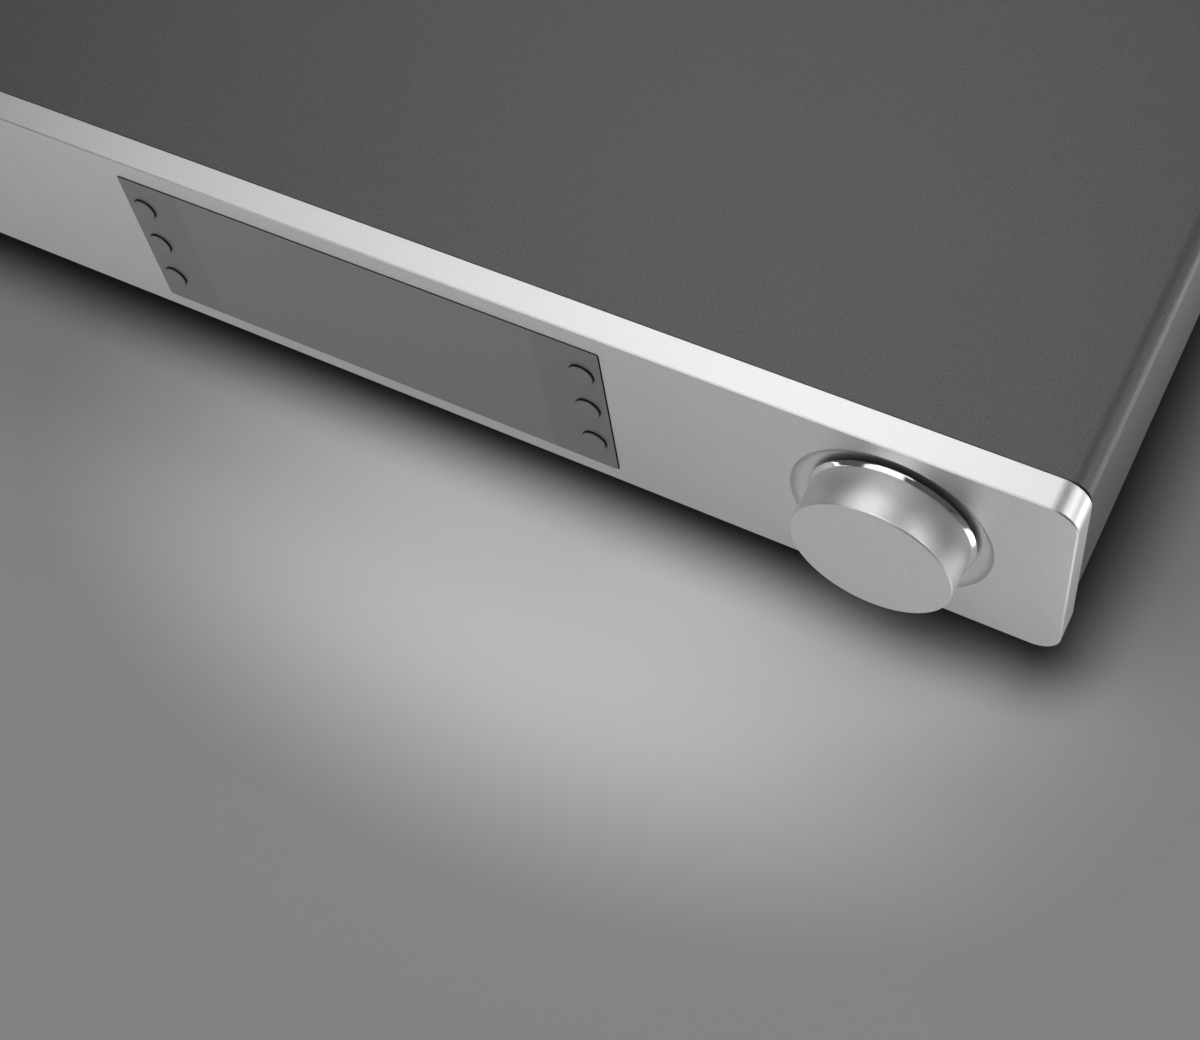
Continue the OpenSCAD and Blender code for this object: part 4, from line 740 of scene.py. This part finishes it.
zinc_steel, surface, place = new_finish("zinc_steel", {"Metallic": 1.0})
spangle = place.cells(220.0, 1)
streak = place.stretched(1, 1, 14).noise(120, 3)
feed(surface, {
    "Base Color": (spangle.part("X") * 0.6 + streak * 0.4).mixed((0.50, 0.51, 0.52), (0.68, 0.69, 0.70)),
    "Roughness": spangle.part("Y") * 0.14 + streak * 0.10 + 0.26,
    "Normal": streak.bump(0.00002),
})
soft_copy("frame_front", "front_frame", zinc_steel, "case", 0.00012, 60)


# Base tray
# The floor of the streamer, folded up at both sides, with rows of slots for
# the air. It is painted dark before the boards and feet are screwed on.
def two_tone(name, constants, low, high, scale, roughness, spread, depth):
    """A finish whose colour, roughness and height follow one fine grain."""
    material, surface, place = new_finish(name, constants)
    grain = place.noise(scale, 3, 0.6)
    feed(surface, {
        "Base Color": grain.step(0.3, 0.7).mixed(low, high),
        "Roughness": grain * spread + roughness,
        "Normal": grain.bump(depth),
    })
    return material


tray_paint = two_tone("tray_paint", {"Specular IOR Level": 0.5}, (0.016, 0.016, 0.017),
                      (0.034, 0.034, 0.036), 2400, 0.42, 0.16, 0.00005)
soft_copy("tray_body", "base_tray", tray_paint, "case", 0.00012, 60)


# Rear panel
# A steel panel with a cut-out for every socket, painted like the cover and
# screwed to the tray and to the sockets.
rear_paint = two_tone("rear_paint", {"Specular IOR Level": 0.5}, (0.030, 0.030, 0.031),
                      (0.066, 0.066, 0.068), 2600, 0.40, 0.15, 0.00005)
soft_copy("panel_rear", "rear_panel", rear_paint, "case", 0.00012, 60)


# Display
# A glass panel in a moulded carrier that also holds the lens and the buttons,
# with the switches and the eye for the remote control on the board behind.
display_glass, surface, place = new_finish("display_glass", {"Specular IOR Level": 0.6})
smudge = place.noise(90, 4)
rows = (place.part("Z") * 14000.0).maths("SINE")
feed(surface, {
    "Base Color": (smudge * 0.5 + rows * 0.2 + 0.2).mixed((0.010, 0.011, 0.013), (0.024, 0.026, 0.030)),
    "Roughness": smudge * 0.12 + 0.04,
})
soft_copy("display_panel", "display_module", display_glass, "case", 0.0002)
black_plastic = two_tone("black_plastic", {"Specular IOR Level": 0.5}, grey(0.012), (0.028, 0.028, 0.029),
                         2600, 0.34, 0.18, 0.00003)
for name, node in (("carrier_body", "display_carrier"), ("switches_front", "tact_switches"),
                   ("remote_eye", "remote_receiver")):
    soft_copy(name, node, black_plastic, "case", 0.00015)


# Circuit boards
# Glass-fibre boards under green lacquer. The copper tracks show through it as
# fine lighter lines that run along and across.
def dressed(material, *nodes):
    """Gives carried-over nodes their finish."""
    for node in nodes:
        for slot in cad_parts[node].material_slots:
            slot.material = material


board_green, surface, place = new_finish("board_green", {"Specular IOR Level": 0.55})
along = place.stretched(40, 900, 900).noise(1, 1)
crosswise = place.stretched(900, 40, 40).noise(1, 1)
tracks = along.step(0.55, 0.58) + crosswise.step(0.57, 0.60)
lacquer = tracks.mixed((0.006, 0.050, 0.020), (0.016, 0.105, 0.042))
solder_spots = place.cells(190.0).step(0.10, 0.13, 1, 0)
feed(surface, {
    "Base Color": solder_spots.mixed(lacquer, (0.42, 0.43, 0.40)),
    "Roughness": tracks * -0.08 + 0.34,
    "Normal": tracks.bump(0.00003),
})
for board in ("front_board", "standby_board", "encoder_board", "main_board", "power_board"):
    soft_copy(f"{board}_body", board, board_green, "case", 0.0001, 60)
dressed(zinc_steel, "board_standoffs")


# Encoder
# The knob's shaft turns in a threaded bush that a nut clamps to the front.
# The bush stands on the encoder's housing, and the plunger is its push switch.
soft_copy("encoder_housing", "encoder_body", black_plastic, "case", 0.00015)
soft_copy("plunger", "encoder_plunger", black_plastic, "encoder_plunger", 0.00015)
soft_copy("shaft", "encoder_shaft", zinc_steel, "knob", 0.0002)
soft_copy("bush_nut", "encoder_nut", zinc_steel, "case", 0.0002)


# Network module and chips
# The module is a small board under a tinned screening lid. The chips are
# black epoxy with their legs along two sides.
chip_inset = 0.0012
leg_pitch = 0.0013
leg_half = 0.0003


def inner_box(shape, box, low, high, width):
    """A block given by shares of a node's box."""
    corners = [[box[0][i] + share[i] * (box[1][i] - box[0][i]) for i in range(3)] for share in (low, high)]
    block(shape, *corners, width)


def solid_boxes(node):
    """The lowest and highest corners of each of a node's solids."""
    source = merged_copy(node)
    boxes = [[[pick(v.co[i] for v in verts) for i in range(3)] for pick in (min, max)]
             for verts in solids_of(source)]
    source.free()
    return sorted(boxes)


tinned = two_tone("tinned_lid", {"Metallic": 1.0}, (0.60, 0.60, 0.61), (0.78, 0.78, 0.79),
                  700, 0.22, 0.14, 0.00002)
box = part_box("network_module")
shape = bmesh.new()
inner_box(shape, box, (0, 0, 0), (1, 1, 0.12), 0.0001)
finished("network_card", shape, board_green, "case", "network_module")
shape = bmesh.new()
inner_box(shape, box, (0.05, 0.06, 0.121), (0.95, 0.80, 0.90), 0.0006)
inner_box(shape, box, (0.09, 0.10, 0.901), (0.91, 0.76, 0.94), 0.0003)
for step in range(9):
    inner_box(shape, box, (0.08 + step * 0.1, 0.84, 0.121), (0.12 + step * 0.1, 0.94, 0.30), 0.0002)
inner_box(shape, box, (0.40, 0.30, 0.941), (0.60, 0.52, 1.0), 0.0003)
finished("network_lid", shape, tinned, "case", "network_module")

bodies = bmesh.new()
legs = bmesh.new()
for low, high in solid_boxes("board_chips"):
    block(bodies, (low[0] + chip_inset, low[1], low[2] + 0.0002),
          (high[0] - chip_inset, high[1], high[2]), 0.0002)
    count = int((high[1] - low[1]) / leg_pitch)
    for step in range(count):
        y = low[1] + (step + 0.5) * (high[1] - low[1]) / count
        for x in (low[0], high[0] - chip_inset):
            block(legs, (x, y - leg_half, low[2]), (x + chip_inset, y + leg_half, low[2] + 0.0005), 0)
epoxy = two_tone("chip_epoxy", {"Specular IOR Level": 0.4}, (0.014, 0.014, 0.015), (0.030, 0.030, 0.031),
                 3600, 0.5, 0.2, 0.00002)
finished("chip_bodies", bodies, epoxy, "case", "board_chips")
finished("chip_legs", legs, tinned, "case", "board_chips")


# Capacitors
# Aluminium cans in a dark shrunk sleeve. The bare top of each can shows, with
# a pressed cross, and a groove runs round the foot where the seal is.
sleeve, surface, place = new_finish("capacitor_sleeve", {"Specular IOR Level": 0.5})
print_edge = place.stretched(160, 160, 0).noise(1, 0)
feed(surface, {
    "Base Color": print_edge.step(0.52, 0.56).mixed((0.014, 0.017, 0.030), (0.028, 0.034, 0.056)),
    "Roughness": print_edge * 0.1 + 0.26,
    "Normal": place.noise(900, 3).bump(0.00003),
})
can_top = two_tone("can_top", {"Metallic": 1.0}, (0.70, 0.70, 0.71), (0.84, 0.84, 0.85),
                   1400, 0.20, 0.16, 0.00002)
for node in ("audio_capacitors", "power_capacitors"):
    cups = bmesh.new()
    tops = bmesh.new()
    for low, high in solid_boxes(node):
        x, y = (low[0] + high[0]) / 2, (low[1] + high[1]) / 2
        radius = (high[0] - low[0]) / 2
        tall = high[2] - low[2]
        turned(cups, [(0, 0), (radius, 0), (radius, tall * 0.07), (radius * 0.94, tall * 0.10),
                      (radius * 0.94, tall * 0.13), (radius, tall * 0.17), (radius, tall - 0.0006),
                      (radius * 0.96, tall), (radius * 0.86, tall), (radius * 0.86, tall - 0.0004),
                      (0, tall - 0.0004)], (x, y, low[2]), axis=(0, 0, 1), steps=48)
        turned(tops, [(0, -0.0003), (radius * 0.85, -0.0003), (radius * 0.85, -0.0001), (0, -0.0001)],
               (x, y, high[2]), axis=(0, 0, 1), steps=48)
        for wide, deep in ((radius * 0.6, 0.0003), (0.0003, radius * 0.6)):
            block(tops, (x - wide, y - deep, high[2] - 0.0001), (x + wide, y + deep, high[2]), 0)
    finished(f"{node}_sleeves", cups, sleeve, "case", node)
    finished(f"{node}_tops", tops, can_top, "case", node)


# Power supply
# The switching transformer has a ferrite core round a taped winding, and the
# choke is wire wound on a ring. A finned aluminium bar cools the switches.
ring_hole = 0.0050
ring_half_height = 0.0046
wire_radius = 0.00045
winding_places = 40
windings = 34

winding_tape = two_tone("winding_tape", {"Specular IOR Level": 0.5}, (0.46, 0.30, 0.035), (0.62, 0.42, 0.06),
                        500, 0.28, 0.2, 0.00004)
ferrite = two_tone("ferrite", {"Specular IOR Level": 0.45}, (0.030, 0.030, 0.033), (0.060, 0.060, 0.064),
                   1600, 0.42, 0.2, 0.00006)
copper = two_tone("copper_wire", {"Metallic": 1.0}, (0.60, 0.22, 0.09), (0.80, 0.36, 0.18),
                  900, 0.22, 0.12, 0.00002)
ring_box, core_box = sorted(solid_boxes("power_transformers"), key=lambda box: box[1][2])
core = bmesh.new()
inner_box(core, core_box, (0, 0.06, 0.10), (0.22, 0.94, 1), 0.0006)
inner_box(core, core_box, (0.78, 0.06, 0.10), (1, 0.94, 1), 0.0006)
inner_box(core, core_box, (0.18, 0.22, 0.72), (0.82, 0.78, 0.995), 0.0006)
inner_box(core, core_box, (0.0, 0.0, 0.0), (1, 1, 0.098), 0.0004)
finished("transformer_core", core, ferrite, "case", "power_transformers")
tape = bmesh.new()
inner_box(tape, core_box, (0.23, 0.02, 0.11), (0.77, 0.98, 0.71), 0.0025)
inner_box(tape, core_box, (0.24, 0.0, 0.30), (0.76, 1, 0.52), 0.0012)
finished("transformer_tape", tape, winding_tape, "case", "power_transformers")

middle = [(a + b) / 2 for a, b in zip(*ring_box)]
ring_outer = (ring_box[1][0] - ring_box[0][0]) / 2
ring_line = (ring_outer + ring_hole) / 2
tube = (ring_outer - ring_hole) / 2
ring_core = bmesh.new()
turned(ring_core, [(ring_line + (tube - 0.0011) * cos(a * pi / 12), ring_half_height * sin(a * pi / 12))
                   for a in range(25)], middle, axis=(0, 0, 1), steps=48)
finished("choke_core", ring_core, ferrite, "case", "power_transformers")
wire = bmesh.new()
for winding in range(windings):
    start = len(wire.verts)
    ends = bmesh.ops.create_circle(wire, segments=6, radius=wire_radius,
                                   matrix=Matrix.Translation((tube - 0.0005, 0, 0)))["verts"]
    rim = list({e for v in ends for e in v.link_edges})
    bmesh.ops.spin(wire, geom=ends + rim, cent=(0, 0, 0), axis=(0, 1, 0), angle=2 * pi, steps=14,
                   use_merge=True, use_duplicate=False)
    wire.verts.ensure_lookup_table()
    loop = wire.verts[start:]
    bmesh.ops.scale(wire, verts=loop, vec=(1, 1, 1.04))
    bmesh.ops.translate(wire, verts=loop, vec=(ring_line, 0, 0))
    bmesh.ops.rotate(wire, verts=loop, cent=(0, 0, 0),
                     matrix=Matrix.Rotation(winding * 2 * pi / winding_places, 3, "Z"))
    bmesh.ops.translate(wire, verts=loop, vec=middle)
finished("choke_wire", wire, copper, "case", "power_transformers")
sink_aluminium = two_tone("sink_aluminium", {"Metallic": 1.0}, (0.55, 0.55, 0.56), (0.74, 0.74, 0.75),
                          1800, 0.32, 0.2, 0.00003)
soft_copy("heat_sink", "power_heat_sink", sink_aluminium, "case", 0.0002)


# Wires inside
# Stranded wires run from the inlet and the switch to the power board, a flat
# ribbon joins the boards, and thin screened leads go to the aerial sockets.
insulation, surface, place = new_finish("wire_insulation", {"Specular IOR Level": 0.5})
bands = place.stretched(90, 0, 0).cells(1.0, 1)
feed(surface, {
    "Base Color": bands.part("X").mixed((0.020, 0.020, 0.022), (0.16, 0.065, 0.030)),
    "Roughness": place.noise(600, 3) * 0.2 + 0.34,
    "Normal": place.noise(1500, 2).bump(0.00003),
})
dressed(insulation, "mains_wires")
lead_black = two_tone("lead_black", {"Specular IOR Level": 0.5}, (0.012, 0.012, 0.013),
                      (0.030, 0.030, 0.032), 1500, 0.36, 0.2, 0.00003)
dressed(lead_black, "aerial_leads")
ribbon, surface, place = new_finish("ribbon_grey", {"Specular IOR Level": 0.5})
strands = (place.part("X") * 4950.0).maths("SINE")
feed(surface, {
    "Base Color": (strands * 0.5 + 0.5).mixed((0.24, 0.24, 0.25), (0.42, 0.42, 0.43)),
    "Roughness": strands * 0.05 + 0.42,
    "Normal": strands.bump(0.0001),
})
dressed(ribbon, "ribbon_cables")


# Mains inlet and switch
# A moulded inlet with three flat blades, screwed to the rear panel, and next
# to it the frame of the mains switch with its rocker.
nickel = two_tone("nickel", {"Metallic": 1.0}, (0.62, 0.61, 0.58), (0.80, 0.79, 0.76),
                  900, 0.20, 0.14, 0.00002)
soft_copy("inlet_body", "mains_inlet", black_plastic, "case", 0.0004, 40, 3,
          only=lambda corners: corners > 20)
soft_copy("inlet_blades", "mains_inlet", nickel, "case", 0.0006, 40, 3,
          only=lambda corners: corners <= 20)
soft_copy("switch_frame", "mains_switch_frame", black_plastic, "case", 0.0003, 40)
rocker_plastic = two_tone("rocker_plastic", {"Specular IOR Level": 0.5}, (0.016, 0.016, 0.017),
                          (0.034, 0.034, 0.035), 2200, 0.22, 0.16, 0.00002)
soft_copy("rocker", "mains_rocker", rocker_plastic, "mains_rocker", 0.0004, 40, 3)


# Network and data sockets
# Stamped, nickel-plated housings soldered to the main board. The network
# socket has eight sprung contacts, the data sockets a plastic tongue each.
y_mouth = 0.1400
network_x = 0.142975
network_z = 0.0341
network_half = 0.0057
contact_pitch = 0.00127
square_x = 0.09202
flat_x = 0.1161

gold = two_tone("gold_plate", {"Metallic": 1.0}, (0.72, 0.50, 0.20), (0.88, 0.66, 0.32),
                1100, 0.16, 0.12, 0.00002)
soft_copy("network_housing", "network_socket", nickel, "case", 0.0003, 60)
shape = bmesh.new()
block(shape, (network_x - network_half, y_mouth - 0.0139, network_z - 0.0024),
      (network_x + network_half, y_mouth - 0.0125, network_z + 0.0042), 0.0002)
block(shape, (network_x - network_half, y_mouth - 0.0126, network_z + 0.0031),
      (network_x + network_half, y_mouth - 0.0030, network_z + 0.0042), 0.0002)
finished("network_insert", shape, black_plastic, "case", "network_socket")
shape = bmesh.new()
for contact in range(8):
    x = network_x + (contact - 3.5) * contact_pitch
    start = len(shape.verts)
    block(shape, (x - 0.00022, y_mouth - 0.0124, network_z + 0.0016),
          (x + 0.00022, y_mouth - 0.0034, network_z + 0.0019), 0)
    shape.verts.ensure_lookup_table()
    bmesh.ops.rotate(shape, verts=shape.verts[start:], cent=(x, y_mouth - 0.0034, network_z + 0.0030),
                     matrix=Matrix.Rotation(radians(12), 3, "X"))
finished("network_contacts", shape, gold, "case", "network_socket")

white_nylon = two_tone("white_nylon", {"Specular IOR Level": 0.5}, (0.62, 0.62, 0.60), (0.74, 0.74, 0.72),
                       1200, 0.36, 0.12, 0.00002)
soft_copy("data_housings", "data_sockets", nickel, "case", 0.0003, 60)
shape = bmesh.new()
for x, z, wide, tall in ((square_x, 0.0328, 0.0056, 0.0032), (flat_x, 0.0319, 0.0112, 0.0018)):
    block(shape, (x - wide / 2 - 0.0001, y_mouth - 0.0095, z - tall / 2 - 0.0001),
          (x + wide / 2 + 0.0001, y_mouth - 0.0009, z + tall / 2 + 0.0001), 0.0002)
finished("data_tongues", shape, white_nylon, "case", "data_sockets")
shape = bmesh.new()
for step in range(4):
    x = flat_x + (step - 1.5) * 0.0023
    block(shape, (x - 0.0005, y_mouth - 0.0085, 0.0308), (x + 0.0005, y_mouth - 0.0014, 0.03095), 0)
for step in range(2):
    x = square_x + (step - 0.5) * 0.0026
    for z in (0.0345, 0.03110):
        block(shape, (x - 0.0006, y_mouth - 0.0085, z), (x + 0.0006, y_mouth - 0.0014, z + 0.00014), 0)
finished("data_contacts", shape, gold, "case", "data_sockets")


# Optical sockets
# Two black moulded sockets for optical leads. A sprung shutter hangs in each
# mouth and swings inwards when the plug is pushed in.
soft_copy("optical_bodies", "optical_sockets", black_plastic, "case", 0.0003, 50)
for side in ("in", "out"):
    shutter = f"optical_shutter_{side}"
    soft_copy(f"shutter_{side}", shutter, black_plastic, shutter, 0.0001, 50)


# Phono sockets
# Two upright pairs: black moulded bodies, with gold-plated sleeves round a
# white insulator and a sprung contact in the middle of each.
y_phono = 0.1395
sleeve_profile = [(0.00326, 0.0005), (0.00415, 0.0005), (0.00415, 0.0094), (0.00395, 0.0095),
                  (0.00345, 0.0095), (0.00326, 0.0093), (0.00326, 0.0005)]
insulator_profile = [(0.00164, 0.0035), (0.00324, 0.0035), (0.00324, 0.00885), (0.00164, 0.00885),
                     (0.00164, 0.0035)]

soft_copy("phono_bodies", "phono_sockets", black_plastic, "case", 0.0002, 50)
sleeves = bmesh.new()
insulators = bmesh.new()
for x in (0.00215, 0.0301):
    for z in (0.0363, 0.0513):
        turned(sleeves, sleeve_profile, (x, y_phono, z), steps=64)
        turned(insulators, insulator_profile, (x, y_phono, z), steps=48)
finished("phono_sleeves", sleeves, gold, "case", "phono_shells")
finished("phono_insulators", insulators, white_nylon, "case", "phono_shells")


# Balanced sockets
# Two three-pin outputs in round black mouths with a square flange, each held
# by two screws. The pins are nickel-plated.
soft_copy("balanced_bodies", "balanced_sockets", black_plastic, "case", 0.0004, 40,
          only=lambda corners: corners > 120)
soft_copy("balanced_pins", "balanced_sockets", nickel, "case", 0.0004, 40,
          only=lambda corners: corners <= 120)


# Control jacks and aerial sockets
# Two small jacks for control leads, and at both ends of the panel a threaded
# gold-plated post with its nut, for an aerial.
y_jack = 0.1410 - 0.00002
rim_hole = 0.00182
rim_radius = 0.0026
rim_thickness = 0.00012
y_thread = 0.1421
thread_root = 0.0031
thread_crest = 0.00328
thread_inside = 0.0029
thread_pitch = 0.0007

soft_copy("jack_bodies", "control_jacks", black_plastic, "case", 0.0002, 50)
shape = bmesh.new()
for x in (0.167055, 0.182965):
    turned(shape, [(rim_hole, 0), (rim_radius, 0), (rim_radius, rim_thickness), (rim_hole, rim_thickness),
                   (rim_hole, 0)], (x, y_jack, 0.0318), steps=48)
finished("jack_rims", shape, nickel, "case", "control_jacks")

soft_copy("aerial_posts", "aerial_sockets", gold, "case", 0.0003, 40)
thread = []
for turn in range(14):
    start = turn * thread_pitch
    thread += [(thread_root, start), (thread_crest, start + 0.00028), (thread_root, start + 0.0006)]
thread_end = thread[-1][1]
shape = bmesh.new()
for x in (0.112015, 0.18705):
    turned(shape, [(thread_inside, 0), *thread, (thread_inside, thread_end), (thread_inside, 0)],
           (x, y_thread, 0.0655), steps=48)
finished("aerial_threads", shape, gold, "case", "aerial_sockets")


# Screws
# Zinc-plated cross-head screws in three sizes hold plate, frame, tray, panel,
# cover, sockets and feet.
screw_steel = two_tone("screw_steel", {"Metallic": 1.0}, (0.40, 0.40, 0.41), (0.60, 0.60, 0.61),
                       1300, 0.24, 0.2, 0.00003)
dressed(screw_steel, "small_screws", "plate_screws", "foot_screws")
